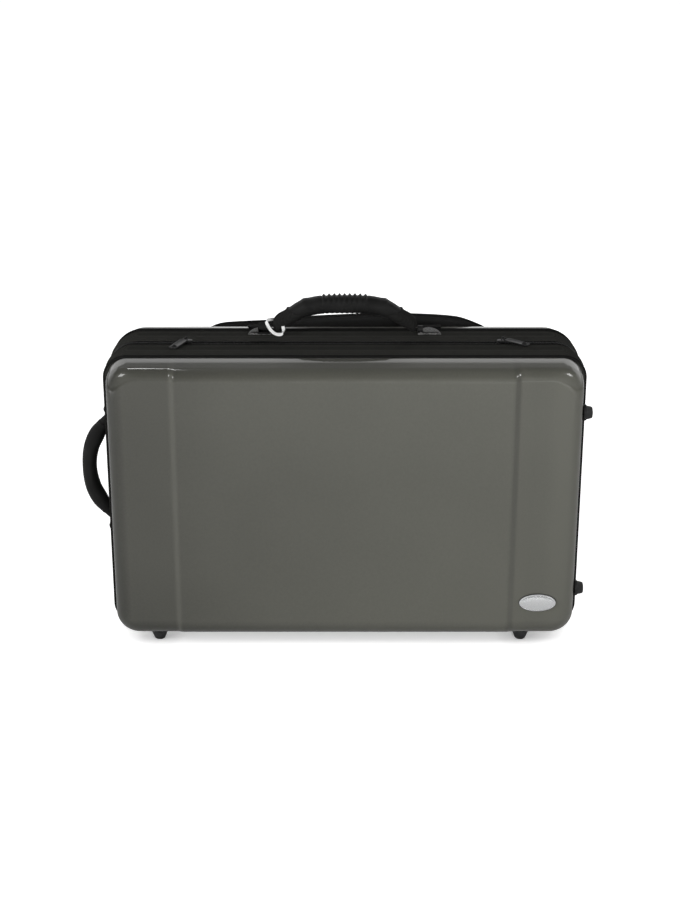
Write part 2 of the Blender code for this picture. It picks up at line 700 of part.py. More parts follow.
# Handles
def eased(stations, s):
    """Height, half thickness and half width at a station, on a smooth curve through them."""
    s = abs(s)
    rows = [(-stations[1][0], *stations[1][1:])] + list(stations)
    rows.append(tuple(2 * a - b for a, b in zip(stations[-1], stations[-2])))
    for i in range(1, len(rows) - 2):
        if s <= rows[i + 1][0] or i == len(rows) - 3:
            break
    p0, p1, p2, p3 = rows[i - 1:i + 3]
    t = min(1.0, (s - p1[0]) / (p2[0] - p1[0]))
    values = []
    for k in (1, 2, 3):
        slope1 = (p2[k] - p0[k]) / (p2[0] - p0[0]) * (p2[0] - p1[0])
        slope2 = (p3[k] - p1[k]) / (p3[0] - p1[0]) * (p2[0] - p1[0])
        values.append(
            (2 * t**3 - 3 * t**2 + 1) * p1[k] + (t**3 - 2 * t**2 + t) * slope1
            + (3 * t**2 - 2 * t**3) * p2[k] + (t**3 - t**2) * slope2)
    return values


def handle_frame(stations, s, base, along, up):
    """The centre at a station, the way the handle runs there, and the two ways square to it."""
    step = 0.0005
    rise = (eased(stations, abs(s) + step)[0] - eased(stations, abs(abs(s) - step))[0]) / (2 * step)
    if abs(s) < step:
        rise = 0.0
    tangent = (along + up * rise * math.copysign(1.0, s)).normalized()
    side = up.cross(along).normalized()
    normal = tangent.cross(side).normalized()
    if normal.dot(up) < 0:
        normal = -normal
    return base + along * s + up * eased(stations, s)[0], tangent, side, normal


def handle_section(stations, s, base, along, up, inset=0.0, rib=0.0, steps=12):
    """An oval across the handle's centre line, square to it."""
    _, thick, width = eased(stations, s)
    centre, _, side, normal = handle_frame(stations, s, base, along, up)
    points = []
    for i in range(steps):
        angle = 2 * math.pi * i / steps
        out = math.sin(angle)
        reach = thick - inset + (rib if out > -0.4 else 0.0)
        wide = width - inset + rib
        points.append(centre + normal * reach * out + side * wide * math.cos(angle))
    return points


def spread(start, end, count):
    return [start + (end - start) * i / count for i in range(count + 1)]


def make_grip(name, stations, half, base, along, up, carrier, ribs=0):
    """A moulded tube over the core, with ribs round its middle where the fingers close."""
    ribbed = ribs * TOP_RIB_PITCH / 2
    places = spread(-half, half, 16)
    if ribs:
        places = spread(-half, -ribbed, 8) + spread(-ribbed, ribbed, ribs * 4)[1:]
        places += spread(ribbed, half, 8)[1:]
    sections = []
    for s in places:
        rib = 0.0
        if ribs and abs(s) < ribbed:
            rib = TOP_RIB_HEIGHT * (0.5 + 0.5 * math.cos(2 * math.pi * (s / TOP_RIB_PITCH)))
        sections.append(handle_section(stations, s, base, along, up, rib=rib))
    bm = loft(sections, cap_start=False, cap_end=False)
    grip = add_in_case(name, bm, MOULDED_RUBBER, carrier)
    tube = grip.modifiers.new("wall", "SOLIDIFY")
    tube.thickness = GRIP_WALL
    tube.offset = -1.0
    return smooth_round(grip, 60.0)


def make_core(name, stations, reach, base, along, up, carrier):
    """The webbing that runs through the grip and carries the load to the pins."""
    inset = GRIP_WALL + TOP_RIB_HEIGHT + GAP
    sections = [
        handle_section(stations, s, base, along, up, inset, steps=8)
        for s in spread(-reach, reach, 12)
    ]
    return add_in_case(name, loft(sections), WEBBING, carrier)


def make_wrap(name, stations, start, outer, s, base, along, up, finish, carrier):
    """One closed end piece, from the grip down to the hinge, with its pin joined on."""
    end = stations[-1][0]
    sections = [handle_section(stations, s * place, base, along, up) for place in spread(start, end, 6)]
    wrap = add_in_case(name, loft(sections), finish, carrier)
    axis = base + up * HANDLE_AXIS_HEIGHT
    root = end - 2 * HANDLE_PIN_RADIUS
    pin = rod(axis + along * s * root, axis + along * s * outer, HANDLE_PIN_RADIUS, 10)
    boolean(wrap, pin, "UNION")
    return smooth_round(wrap, 50.0)


TOP_HANDLE_FRAME = (
    Vector((0.0, HANDLE_Y, BAND_HEIGHT)),
    Vector((1, 0, 0)),
    Vector((0, 0, 1)),
)
SIDE_HANDLE_FRAME = (
    Vector((-HALF_WIDTH, SIDE_HANDLE_Y, SIDE_HANDLE_Z)),
    Vector((0, 0, 1)),
    Vector((-1, 0, 0)),
)


def make_top_handle():
    make_grip("handle_grip", TOP_STATIONS, TOP_GRIP_HALF, *TOP_HANDLE_FRAME, top_handle, TOP_RIB_COUNT)
    make_core("handle_core", TOP_STATIONS, TOP_GRIP_HALF - GAP, *TOP_HANDLE_FRAME, top_handle)
    start = TOP_GRIP_HALF + GAP
    pin_end = PLATE_INNER + KNUCKLE_LENGTH - 3 * GAP
    for name, s in SIDES:
        wrap_name = f"handle_wrap_{name}"
        make_wrap(wrap_name, TOP_STATIONS, start, pin_end, s, *TOP_HANDLE_FRAME, WEBBING, top_handle)
        make_anchor_plate(name, s)


def make_anchor_plate(name, s):
    """A low half-moon dome with its straight edge towards the zip, and the knuckle of the
    handle's pin on its inner end."""
    centre = Vector((s * (PLATE_INNER + PLATE_RADIUS), PLATE_FRONT, BAND_HEIGHT + GAP))
    steps = 12
    rings = []
    for share, rise in ((1.0, 0.0), (1.0, 0.35), (0.86, 0.8), (0.55, 1.0)):
        height = rise * PLATE_HEIGHT
        ring = []
        for i in range(steps + 1):
            angle = math.pi * i / steps
            x = PLATE_RADIUS * math.cos(angle)
            y = PLATE_DEPTH * math.sin(angle)
            middle = PLATE_DEPTH * 0.42
            ring.append(centre + Vector((x * share, middle + (y - middle) * share, height)))
        rings.append(ring)
    plate = add_in_case(f"handle_anchor_plate_{name}", loft(rings), PLATE_GREY, case)
    axis = Vector((0.0, HANDLE_Y, TOP_AXIS_Z))
    knuckle_start = axis + Vector((s * PLATE_INNER, 0, 0))
    knuckle_end = axis + Vector((s * (PLATE_INNER + KNUCKLE_LENGTH), 0, 0))
    boolean(plate, rod(knuckle_start, knuckle_end, KNUCKLE_RADIUS, 14), "UNION")
    past = Vector((s * 2 * KNUCKLE_LENGTH, 0, 0))
    boolean(plate, rod(knuckle_start - past, knuckle_end + past, HANDLE_PIN_RADIUS + GAP, 10), "DIFFERENCE")
    return plate


def make_side_handle():
    start = SIDE_STATIONS[3][0]
    make_grip("side_handle_grip", SIDE_STATIONS, start, *SIDE_HANDLE_FRAME, side_handle)
    make_core("side_handle_core", SIDE_STATIONS, start - GAP, *SIDE_HANDLE_FRAME, side_handle)
    pin_end = SIDE_TAB_START + KNUCKLE_LENGTH
    for name, s in (("bottom", -1), ("top", 1)):
        end_name = f"side_handle_end_{name}"
        make_wrap(
            end_name, SIDE_STATIONS, start + GAP, pin_end, s, *SIDE_HANDLE_FRAME, MOULDED_RUBBER, side_handle)
        make_side_tab(name, s)


def make_side_tab(name, s):
    """A tapered moulded tab that holds one pin of the side handle. Each section has its share
    of the tab's length, height and width."""
    base, along, up = SIDE_HANDLE_FRAME
    side = Vector((0.0, 1.0, 0.0))
    shares = ((0.0, 0.86, 0.66), (0.2, 1.0, 0.78), (0.5, 0.8, 0.95), (0.85, 0.36, 0.9), (1.0, 0.16, 0.6))
    sections = []
    for share, height, narrow in shares:
        place = base + along * s * (SIDE_TAB_START + SIDE_TAB_LENGTH * share) + up * GAP
        top = SIDE_TAB_HEIGHT * height
        wide = SIDE_TAB_WIDTH / 2 * narrow
        shoulder = top * 0.45
        flat = wide * 0.55
        outline = ((-wide, 0.0), (-wide, shoulder), (-flat, top), (flat, top), (wide, shoulder), (wide, 0.0))
        sections.append([place + side * w + up * h for w, h in outline])
    tab = add_in_case(f"side_handle_tab_{name}", loft(sections), MOULDED_RUBBER, case)
    axis = base + up * HANDLE_AXIS_HEIGHT
    bore_start = SIDE_TAB_START - KNUCKLE_LENGTH
    bore_end = SIDE_TAB_START + 2 * KNUCKLE_LENGTH
    bore = rod(axis + along * s * bore_start, axis + along * s * bore_end, HANDLE_PIN_RADIUS + GAP, 10)
    boolean(tab, bore, "DIFFERENCE")
    return smooth_round(tab, 40.0)


def make_tag_loop():
    """A flat nylon tie round the left end of the top handle, loose at its bottom. It clears the
    handle's taper under its width."""
    lift = GAP + 0.15 * TAG_WIDTH + TAG_THICKNESS / 2
    route = handle_section(TOP_STATIONS, -TAG_STATION, *TOP_HANDLE_FRAME, inset=-lift, steps=16)
    centre, way, _, normal = handle_frame(TOP_STATIONS, -TAG_STATION, *TOP_HANDLE_FRAME)
    sections = []
    for place in route:
        out = (place - centre).normalized()
        low = max(0.0, -out.dot(normal))
        middle = place - normal * TAG_SLACK * low**3
        half_way = way * TAG_WIDTH / 2
        half_out = out * TAG_THICKNESS / 2
        sections.append([middle - half_way - half_out, middle + half_way - half_out,
                         middle + half_way + half_out, middle - half_way + half_out])
    return add_in_case("tag_loop", loft(sections, closed=True), WHITE_NYLON, top_handle)


# Badge
def make_badge():
    """A bare oval plate, domed at its edge."""
    rings = []
    for share, out in ((1.0, GAP), (1.0, BADGE_THICKNESS * 0.6), (0.93, BADGE_THICKNESS)):
        ring = []
        for i in range(28):
            angle = 2 * math.pi * i / 28
            x = BADGE_X + BADGE_WIDTH / 2 * share * math.cos(angle)
            z = BADGE_Z + BADGE_HEIGHT / 2 * share * math.sin(angle)
            ring.append(Vector((x, FRONT_FACE_Y - out, z)))
        rings.append(ring)
    return add_in_case("badge", loft(rings), CHROME, lid)


# Harness
def ring_tab_top():
    return RING_Z - RING_INNER_HEIGHT / 2 - 2 * RING_WIRE_RADIUS - GAP


def tab_rivet_places():
    return [(s * STRAP_X, ring_tab_top() - 0.6 * RING_TAB_LENGTH) for s in (-1, 1)]


def ribbon(points, x, width, thickness):
    """A flat strip of webbing through (y, z) points, its thickness on their outer side."""
    places = [Vector((0.0, y, z)) for y, z in points]
    sections = []
    for i, place in enumerate(places):
        before = places[max(0, i - 1)]
        after = places[min(len(places) - 1, i + 1)]
        run = (after - before).normalized()
        normal = Vector((0.0, run.z, -run.y))
        outer = place + normal * thickness
        left = Vector((x - width / 2, 0, 0))
        right = Vector((x + width / 2, 0, 0))
        sections.append([place + left, place + right, outer + right, outer + left])
    return loft(sections)


def smooth_through(points, steps):
    """Points on a curve that runs smoothly through the given (x, z) points."""
    ends = [points[0]] + list(points) + [points[-1]]
    curve = []
    for i in range(1, len(ends) - 2):
        for step in range(steps):
            t = step / steps
            p0, p1, p2, p3 = ends[i - 1:i + 3]
            curve.append(tuple(
                b + 0.5 * t * (c - a + t * (2 * a - 5 * b + 4 * c - d + t * (3 * b - a - 3 * c + d)))
                for a, b, c, d in zip(p0, p1, p2, p3)))
    return curve + [points[-1]]


def padded_form(name, outline, thickness, crown, border):
    """A flat back of (x, z) points, straight sides, and a front that swells inside its border."""
    bm = bmesh.new()
    face = bm.faces.new([bm.verts.new((x, HARNESS_Y, z)) for x, z in outline])
    grown = bmesh.ops.extrude_face_region(bm, geom=[face])
    moved = [item for item in grown["geom"] if isinstance(item, bmesh.types.BMVert)]
    bmesh.ops.translate(bm, verts=moved, vec=(0, thickness - crown, 0))
    outward(bm)
    bm.faces.ensure_lookup_table()
    outer = max(bm.faces, key=lambda f: f.calc_center_median().y)
    for share in (0.65, 0.35):
        bmesh.ops.inset_region(
            bm, faces=[outer], thickness=border * (1 - share), depth=crown * share, use_even_offset=True)
    return smooth_round(add_in_case(name, outward(bm), PAD_FABRIC, case))


def make_yoke():
    """A padded arch whose top edge shows over the rear shell, cut away between the straps."""
    left, right = YOKE_TOP[0][0], YOKE_TOP[-1][0]
    shoulder = YOKE_BOTTOM + 0.4 * (YOKE_TOP[0][1] - YOKE_BOTTOM)
    notch = YOKE_BOTTOM + 0.5 * (YOKE_TOP[0][1] - YOKE_BOTTOM)
    inner = STRAP_X - STRAP_WIDTH / 2
    outer = STRAP_X + STRAP_WIDTH / 2
    ease = 0.010
    bottom = [
        (right - ease, shoulder), (outer, YOKE_BOTTOM), (inner, YOKE_BOTTOM), (inner / 2, notch),
        (-inner / 2, notch), (-inner, YOKE_BOTTOM), (-outer, YOKE_BOTTOM), (left + ease, shoulder),
    ]
    outline = smooth_through(YOKE_TOP, 3) + bottom
    return padded_form("harness_yoke", outline, YOKE_THICKNESS, YOKE_CROWN, PAD_BORDER)


def make_shoulder_strap(name, s):
    top = YOKE_BOTTOM - GAP
    half = STRAP_WIDTH / 2
    x = s * STRAP_X
    narrow = LOCK_WIDTH / 2
    taper = STRAP_BOTTOM + STRAP_TAPER
    outline = [
        (x - half, top), (x + half, top), (x + half, taper), (x + narrow, STRAP_BOTTOM),
        (x - narrow, STRAP_BOTTOM), (x - half, taper),
    ]
    return padded_form(f"shoulder_strap_{name}", outline, STRAP_THICKNESS, STRAP_CROWN, PAD_BORDER)


def make_ladder_lock(name, s):
    """A flat buckle with two slots, right under the strap."""
    y = HARNESS_Y + WEB_THICKNESS + GAP + LOCK_THICKNESS / 2
    centre = Vector((s * STRAP_X, y, STRAP_BOTTOM - GAP - LOCK_HEIGHT / 2))
    body = block((LOCK_WIDTH, LOCK_THICKNESS, LOCK_HEIGHT), centre, LOCK_THICKNESS / 4)
    lock = add_in_case(f"ladder_lock_{name}", body, BLACK_PLASTIC, case)
    slot_size = (WEB_WIDTH + 2 * GAP, 3 * LOCK_THICKNESS, LOCK_HEIGHT / 5)
    slots = [block(slot_size, centre + Vector((0, 0, dz * LOCK_HEIGHT / 5))) for dz in (-1, 1)]
    boolean(lock, gather(*slots), "DIFFERENCE")
    return lock


def make_lower_web(name, s):
    """Webbing from behind the buckle down to the ring."""
    top = STRAP_BOTTOM - GAP
    bottom = RING_Z + RING_INNER_HEIGHT / 2 + RING_WIRE_RADIUS * 2 + GAP
    centre = (s * STRAP_X, HARNESS_Y + WEB_THICKNESS / 2, (top + bottom) / 2)
    web = block((WEB_WIDTH, WEB_THICKNESS, top - bottom), centre)
    return add_in_case(f"lower_web_{name}", web, WEBBING, case)


def make_ring(name, s):
    """A rectangular wire loop that joins the web to its tab."""
    x = s * STRAP_X
    y = HARNESS_Y + RING_WIRE_RADIUS
    corner = 2 * RING_WIRE_RADIUS
    across = WEB_WIDTH / 2 + 3 * GAP + RING_WIRE_RADIUS - corner
    level_half = RING_INNER_HEIGHT / 2 + RING_WIRE_RADIUS - corner
    curve = bpy.data.curves.new(f"lower_ring_{name}", "CURVE")
    curve.dimensions = "3D"
    curve.bevel_depth = RING_WIRE_RADIUS
    curve.bevel_resolution = 2
    spline = curve.splines.new("POLY")
    places = []
    for side, level, start in ((1, 1, 0), (-1, 1, 90), (-1, -1, 180), (1, -1, 270)):
        for step in range(4):
            angle = math.radians(start + 30 * step)
            x_place = side * across + corner * math.cos(angle)
            places.append((x_place, level * level_half + corner * math.sin(angle)))
    spline.points.add(len(places) - 1)
    spline.use_cyclic_u = True
    for point, (dx, dz) in zip(spline.points, places):
        point.co = (dx, 0.0, dz, 1.0)
    obj = bpy.data.objects.new(f"lower_ring_{name}", curve)
    case_parts.objects.link(obj)
    return hang(obj, f"lower_ring_{name}", BRIGHT_STEEL, case, (x, y, RING_Z))


def make_ring_tab(name, s):
    """A webbing tab under the ring's lower bar, and the rivet that holds it to the rear shell."""
    x = s * STRAP_X
    top = ring_tab_top()
    bottom = top - RING_TAB_LENGTH
    thickness = HARNESS_STANDOFF - GAP + 2 * WEB_THICKNESS
    y = REAR_PANEL_Y + GAP + thickness / 2
    body = block((WEB_WIDTH, thickness, top - bottom), (x, y, (top + bottom) / 2), WEB_THICKNESS / 3)
    tab = add_in_case(f"ring_tab_{name}", body, WEBBING, case)
    rivet_x, rivet_z = [place for place in tab_rivet_places() if place[0] * s > 0][0]
    middle = Vector((rivet_x, y, rivet_z))
    through = Vector((0, thickness, 0))
    bore = rod(middle - through, middle + through, TAB_RIVET_RADIUS + GAP, TAB_RIVET_STEPS)
    boolean(tab, bore, "DIFFERENCE")
    head = y + thickness / 2 + GAP
    inside = REAR_PANEL_Y - SHELL_WALL - GAP
    steps = (
        (TAB_RIVET_HEAD, head + TAB_RIVET_HEAD_HEIGHT), (TAB_RIVET_HEAD, head), (TAB_RIVET_RADIUS, head),
        (TAB_RIVET_RADIUS, inside), (TAB_RIVET_HEAD, inside),
        (TAB_RIVET_HEAD, inside - TAB_RIVET_HEAD_HEIGHT),
    )
    rivet = stepped_rod(Vector((rivet_x, 0.0, rivet_z)), Vector((0.0, 1.0, 0.0)), steps)
    add_in_case(f"ring_tab_rivet_{name}", rivet, BRIGHT_STEEL, case)


def stepped_rod(base, out, steps, sides=12):
    """A round bar along out whose radius changes at each (radius, distance) step."""
    turn = out.to_track_quat("Z", "Y")
    sections = []
    for radius, distance in steps:
        ring = []
        for i in range(sides):
            angle = 2 * math.pi * i / sides
            round_it = Vector((radius * math.cos(angle), radius * math.sin(angle), 0.0))
            ring.append(base + out * distance + turn @ round_it)
        sections.append(ring)
    return loft(sections)


def make_anchor_web(name, s):
    """Webbing from behind the yoke, over the rear shell's top edge, to the handle's plate."""
    lift = 2 * GAP
    inset = wall_inset(REAR_SHELL_STRAIGHT)
    centre_y = REAR_BAND_DEPTH + REAR_SHELL_STRAIGHT - SHELL_EDGE_RADIUS * math.sin(SHELL_DRAFT)
    centre_z = BAND_HEIGHT - inset - SHELL_EDGE_RADIUS * math.cos(SHELL_DRAFT)
    reach_y = SHELL_EDGE_RADIUS + PANEL_RAISE + lift
    reach_z = SHELL_EDGE_RADIUS + lift
    points = [(REAR_PANEL_Y + lift, YOKE_BOTTOM + YOKE_THICKNESS)]
    for step in range(6):
        angle = (math.pi / 2 - SHELL_DRAFT) * step / 5
        points.append((centre_y + reach_y * math.cos(angle), centre_z + reach_z * math.sin(angle)))
    near_rim = WELT_WIDTH / 2
    ramp = BAND_HEIGHT + lift
    points += [
        (REAR_BAND_DEPTH + near_rim, BAND_HEIGHT - wall_inset(near_rim) + lift),
        (REAR_BAND_DEPTH - 3 * GAP, ramp), (PLATE_FRONT + PLATE_DEPTH + GAP, ramp),
    ]
    web = ribbon(points, s * ANCHOR_WEB_X, WEB_WIDTH, WEB_THICKNESS)
    return add_in_case(f"anchor_web_{name}", web, WEBBING, case)


# Lining
def face_pad_depths(half):
    """Where the face pad's outer and inner sides lie, from the shell's face inwards."""
    outer = half.depth + half.straight + SHELL_EDGE_RISE - SHELL_WALL - GAP
    return half.side * outer, half.side * (outer - PAD_THICKNESS)


def make_face_pad(half):
    """A rounded foam slab against the shell's face."""
    corner = half.corners[1] - SHELL_WALL
    rings = []
    for y in face_pad_depths(half):
        outline = rounded_outline(HALF_WIDTH - FACE_PAD_INSET, HALF_HEIGHT - FACE_PAD_INSET, corner)
        rings.append([Vector((x, y, z)) for x, z in outline])
    return add_in_case(half.name + "_face_pad", loft(rings), LINING_PLUSH, half.carrier)


def lining_depths(half):
    """Where the wall pads run from and to, between the zip and the face pad."""
    _, pad_inner = face_pad_depths(half)
    return half.side * (ZIP_TAPE_WIDTH + LINING_FROM_ZIP), pad_inner - half.side * GAP


def make_wall_lining(half):
    """One foam strip round the inside of the walls."""
    start, end = lining_depths(half)
    corner = max(band_corner(start), band_corner(half.side * half.depth))
    inner = LINING_INSET + PAD_THICKNESS
    rings = []
    for inset, y in ((LINING_INSET, start), (LINING_INSET, end), (inner, end), (inner, start)):
        outline = rounded_outline(HALF_WIDTH - inset, HALF_HEIGHT - inset, corner - inset)
        rings.append([Vector((x, y, z)) for x, z in outline])
    return add_in_case(half.name + "_wall_lining", loft(rings, closed=True), LINING_PLUSH, half.carrier)


def divider_places():
    lower = LINING_INSET + PAD_THICKNESS + BAY_HEIGHT
    return (("lower", lower), ("upper", lower + DIVIDER_THICKNESS + BAY_HEIGHT))


def make_dividers():
    start, end = lining_depths(REAR)
    width = 2 * (HALF_WIDTH - LINING_INSET - PAD_THICKNESS - GAP)
    deep = end - start - GAP
    for name, z in divider_places():
        centre = (0, start + deep / 2, z + DIVIDER_THICKNESS / 2)
        body = block((width, deep, DIVIDER_THICKNESS), centre, DIVIDER_THICKNESS / 4)
        add_in_case(f"divider_{name}", body, LINING_PLUSH, case)


def make_hold_down_strap(name, s):
    """A strap across the two large bays, lying on the front edges of dividers and lining."""
    start, _ = lining_depths(REAR)
    y = start - GAP - HOLD_STRAP_THICKNESS / 2
    low = LINING_INSET + HOLD_STRAP_THICKNESS
    high = divider_places()[1][1] + DIVIDER_THICKNESS
    centre = (s * HOLD_STRAP_X, y, (low + high) / 2)
    strap = block((HOLD_STRAP_WIDTH, HOLD_STRAP_THICKNESS, high - low), centre)
    return add_in_case(f"hold_down_strap_{name}", strap, WEBBING, case)


for piece_half in (FRONT, REAR):
    make_band(piece_half)
    make_welt(piece_half)
    make_shell(piece_half)
    for piece_foot in feet_of(piece_half):
        make_foot(piece_half, piece_foot)
    make_zip(piece_half)
    make_hinge_leaf(piece_half)
    make_face_pad(piece_half)
    make_wall_lining(piece_half)

make_slider("left", -1)
make_slider("right", 1)
make_top_handle()
make_side_handle()
make_tag_loop()
make_badge()
make_yoke()
for side_name, side_sign in SIDES:
    make_shoulder_strap(side_name, side_sign)
    make_ladder_lock(side_name, side_sign)
    make_lower_web(side_name, side_sign)
    make_ring(side_name, side_sign)
    make_ring_tab(side_name, side_sign)
    make_anchor_web(side_name, side_sign)
    make_hold_down_strap(side_name, side_sign)
make_dividers()
bpy.context.view_layer.update()
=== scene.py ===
# %% [markdown]
# # A hard case for trumpets
# The real case is two moulded, gel-coated half shells with a black padded fabric band and a zip
# between them. This lesson dresses the CAD model of that case: most pieces are made again here with
# rounder edges, weave and stitching, and each one rides on the CAD body that carries it.

# %% Load the CAD model
import math

import bmesh
import bpy
from mathutils import Matrix, Vector, noise


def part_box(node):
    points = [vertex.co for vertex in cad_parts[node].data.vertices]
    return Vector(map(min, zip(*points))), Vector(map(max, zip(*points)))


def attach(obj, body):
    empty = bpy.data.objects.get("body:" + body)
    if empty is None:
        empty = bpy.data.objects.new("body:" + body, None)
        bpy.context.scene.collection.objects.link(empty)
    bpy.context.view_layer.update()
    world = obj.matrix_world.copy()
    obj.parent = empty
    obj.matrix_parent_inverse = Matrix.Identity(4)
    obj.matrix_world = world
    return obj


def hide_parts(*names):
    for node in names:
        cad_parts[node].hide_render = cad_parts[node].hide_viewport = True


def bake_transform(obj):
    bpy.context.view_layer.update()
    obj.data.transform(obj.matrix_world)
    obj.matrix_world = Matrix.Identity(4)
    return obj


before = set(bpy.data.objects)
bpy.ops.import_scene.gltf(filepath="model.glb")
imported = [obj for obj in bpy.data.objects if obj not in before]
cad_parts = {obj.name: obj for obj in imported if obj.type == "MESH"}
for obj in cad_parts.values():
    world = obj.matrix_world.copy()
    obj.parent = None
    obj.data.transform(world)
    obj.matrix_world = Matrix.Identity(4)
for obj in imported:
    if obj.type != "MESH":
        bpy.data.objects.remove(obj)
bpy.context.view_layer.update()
print("CAD nodes:", len(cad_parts))

# %% [markdown]
# All sizes are metres. The case frame has its middle under the zip, at the bottom of the band, as the
# CAD part has. The band's box gives where that is in the world, so nothing here is fitted by eye.

# %% The case frame
GAP = 0.0003
ZIP_TAPE_WIDTH = 0.0072
band_low, band_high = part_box("front_band")
HOME = Vector(((band_low.x + band_high.x) / 2, band_high.y + ZIP_TAPE_WIDTH + GAP, band_low.z))
HALF_WIDTH = (band_high.x - band_low.x) / 2
BAND_HEIGHT = band_high.z - band_low.z
HALF_HEIGHT = BAND_HEIGHT / 2
RIM = {"front": HOME.y - band_low.y + GAP, "rear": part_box("rear_band")[1].y - HOME.y + GAP}
SIDE = {"front": -1, "rear": 1}
BODY = {"front": "lid", "rear": "case"}
BAND_CORNER = {"front": 0.027, "rear": 0.040}
HALVES = ("front", "rear")
ENDS = (("left", -1), ("right", 1))
print("home", [round(v, 4) for v in HOME], "rims", {k: round(v, 4) for k, v in RIM.items()})

# %% [markdown]
# ## Camera and studio
# The photograph was taken from in front and a little above, with a long lens. The camera stands on
# that line, and soft lamps stand in front, behind, above and to the sides, as in a studio.

# %% Camera
CAMERA_PITCH = math.radians(22.0)
CAMERA_DISTANCE = 2.139
LENS = 73.08
AIM_LEFT = 0.0055
AIM_HEIGHT = 0.228
AIM = HOME + Vector((-AIM_LEFT, -RIM["front"], AIM_HEIGHT))
camera_data = bpy.data.cameras.new("camera")
camera_data.lens = LENS
camera_data.sensor_width = 36.0
camera_data.clip_end = 60.0
camera = bpy.data.objects.new("camera", camera_data)
bpy.context.scene.collection.objects.link(camera)
back = Vector((0.0, -math.cos(CAMERA_PITCH), math.sin(CAMERA_PITCH)))
camera.location = AIM + back * CAMERA_DISTANCE
camera.rotation_euler = (math.pi / 2 - CAMERA_PITCH, 0.0, 0.0)
bpy.context.scene.camera = camera
print("camera at", [round(v, 3) for v in camera.location])

# %% [markdown]
# ### Lamps
# A picture of a studio could light the case, but area lamps are easier to set one by one. The three
# strong ones light it evenly, and the gloss doesn't mirror them. The small ones above and the long
# thin one behind are there for the bright spots and the line that the gloss does show.


# %% Lamps
def soft_lamp(name, place, size, power, mirrored=True, depth=None):
    """An area lamp that faces the middle of the case; the gloss shows only the mirrored ones."""
    data = bpy.data.lights.new(name, "AREA")
    data.shape = "RECTANGLE"
    data.size = size
    data.size_y = depth or size
    data.energy = power
    lamp = bpy.data.objects.new(name, data)
    bpy.context.scene.collection.objects.link(lamp)
    lamp.location = place
    to_case = HOME + Vector((0, 0, HALF_HEIGHT)) - Vector(place)
    lamp.rotation_euler = to_case.to_track_quat("-Z", "Y").to_euler()
    lamp.visible_glossy = mirrored


soft_lamp("front_lamp", (0.6, -2.8, 0.60), 1.6, 54.0, mirrored=False)
soft_lamp("side_lamp", (-2.6, -1.3, 0.6), 1.2, 42.0, mirrored=False)
soft_lamp("back_lamp", (0.4, 2.8, 0.9), 1.6, 26.0, mirrored=False)
soft_lamp("left_lamp", (-1.5, -1.3, 1.7), 0.60, 9.0)
soft_lamp("right_lamp", (1.6, -1.0, 1.7), 0.55, 8.0)
soft_lamp("top_lamp", (-0.5, 0.9, 2.2), 0.25, 2.2)
soft_lamp("strip_lamp", (0.0, 1.9, 1.95), 3.0, 0.35, depth=0.06)
print("lamps:", len(bpy.data.lights))

# %% [markdown]
# ### World
# The background of the photograph is plain white. The world is white where the camera, a
# reflection or glass looks at it, and a weaker grey where it only lights the case. The white
# backdrop behind the case ends at a height, and the room in front of it darkens upwards. The glossy
# shell shows both: a light upper wall, and a dark rounded edge below it. Two kinds of node come up
# in many trees of this lesson, Math and Map Range, so each gets a helper before the world is made.


# %% Two node helpers
def calculate(tree, operation, first, second):
    """The output of a Math node; each input is a number or the output of another node."""
    made = tree.nodes.new("ShaderNodeMath")
    made.operation = operation
    for value, socket in zip((first, second), made.inputs):
        if isinstance(value, float):
            socket.default_value = value
        else:
            tree.links.new(value, socket)
    return made.outputs[0]


def spread_out(tree, value, source, target, kind="LINEAR"):
    """A value mapped from a source range to a target range."""
    made = tree.nodes.new("ShaderNodeMapRange")
    made.interpolation_type = kind
    made.inputs["From Min"].default_value, made.inputs["From Max"].default_value = source
    made.inputs["To Min"].default_value, made.inputs["To Max"].default_value = target
    tree.links.new(value, made.inputs["Value"])
    return made.outputs[0]


# %% World
ROOM_LIGHT = 0.36
BACKDROP_TOP = (0.475, 0.505)
ROOM_FADE = (0.0, 0.70)
ROOM_FRONT = 0.5
CEILING = 0.15

world = bpy.data.worlds.new("studio")
bpy.context.scene.world = world
world.use_nodes = True
room_tree = world.node_tree
room = room_tree.nodes["Background"]
ray = room_tree.nodes.new("ShaderNodeLightPath").outputs
seen = calculate(room_tree, "MAXIMUM", ray["Is Camera Ray"], ray["Is Glossy Ray"])
seen = calculate(room_tree, "MAXIMUM", seen, ray["Is Transmission Ray"])
room_tree.links.new(spread_out(room_tree, seen, (0.0, 1.0), (ROOM_LIGHT, 1.0)), room.inputs["Strength"])
direction = room_tree.nodes.new("ShaderNodeTexCoord").outputs["Generated"]
look = room_tree.nodes.new("ShaderNodeSeparateXYZ")
room_tree.links.new(direction, look.inputs[0])
both_sides = room_tree.nodes.new("ShaderNodeMix")
for fade, brightest, socket in ((ROOM_FADE, ROOM_FRONT, "A"), (BACKDROP_TOP, 1.0, "B")):
    dimmed = spread_out(room_tree, look.outputs["Z"], fade, (brightest, CEILING), "SMOOTHSTEP")
    room_tree.links.new(dimmed, both_sides.inputs[socket])
behind = calculate(room_tree, "GREATER_THAN", look.outputs["Y"], 0.0)
room_tree.links.new(behind, both_sides.inputs["Factor"])
room_tree.links.new(both_sides.outputs["Result"], room.inputs["Color"])
print("world nodes:", len(room_tree.nodes))

# %% [markdown]
# ### Floor
# The floor is white too. It glows only for the camera, so that it is as white as the background and
# yet doesn't light the case. Ambient Occlusion takes the glow away close to the case, which leaves
# the soft shade between the feet.

# %% Floor
FLOOR_HALF = 14.0
FLOOR_PAINT = (0.86, 0.86, 0.86, 1.0)
FLOOR_GLOW = 0.92
FLOOR_SHADE_REACH = 0.020

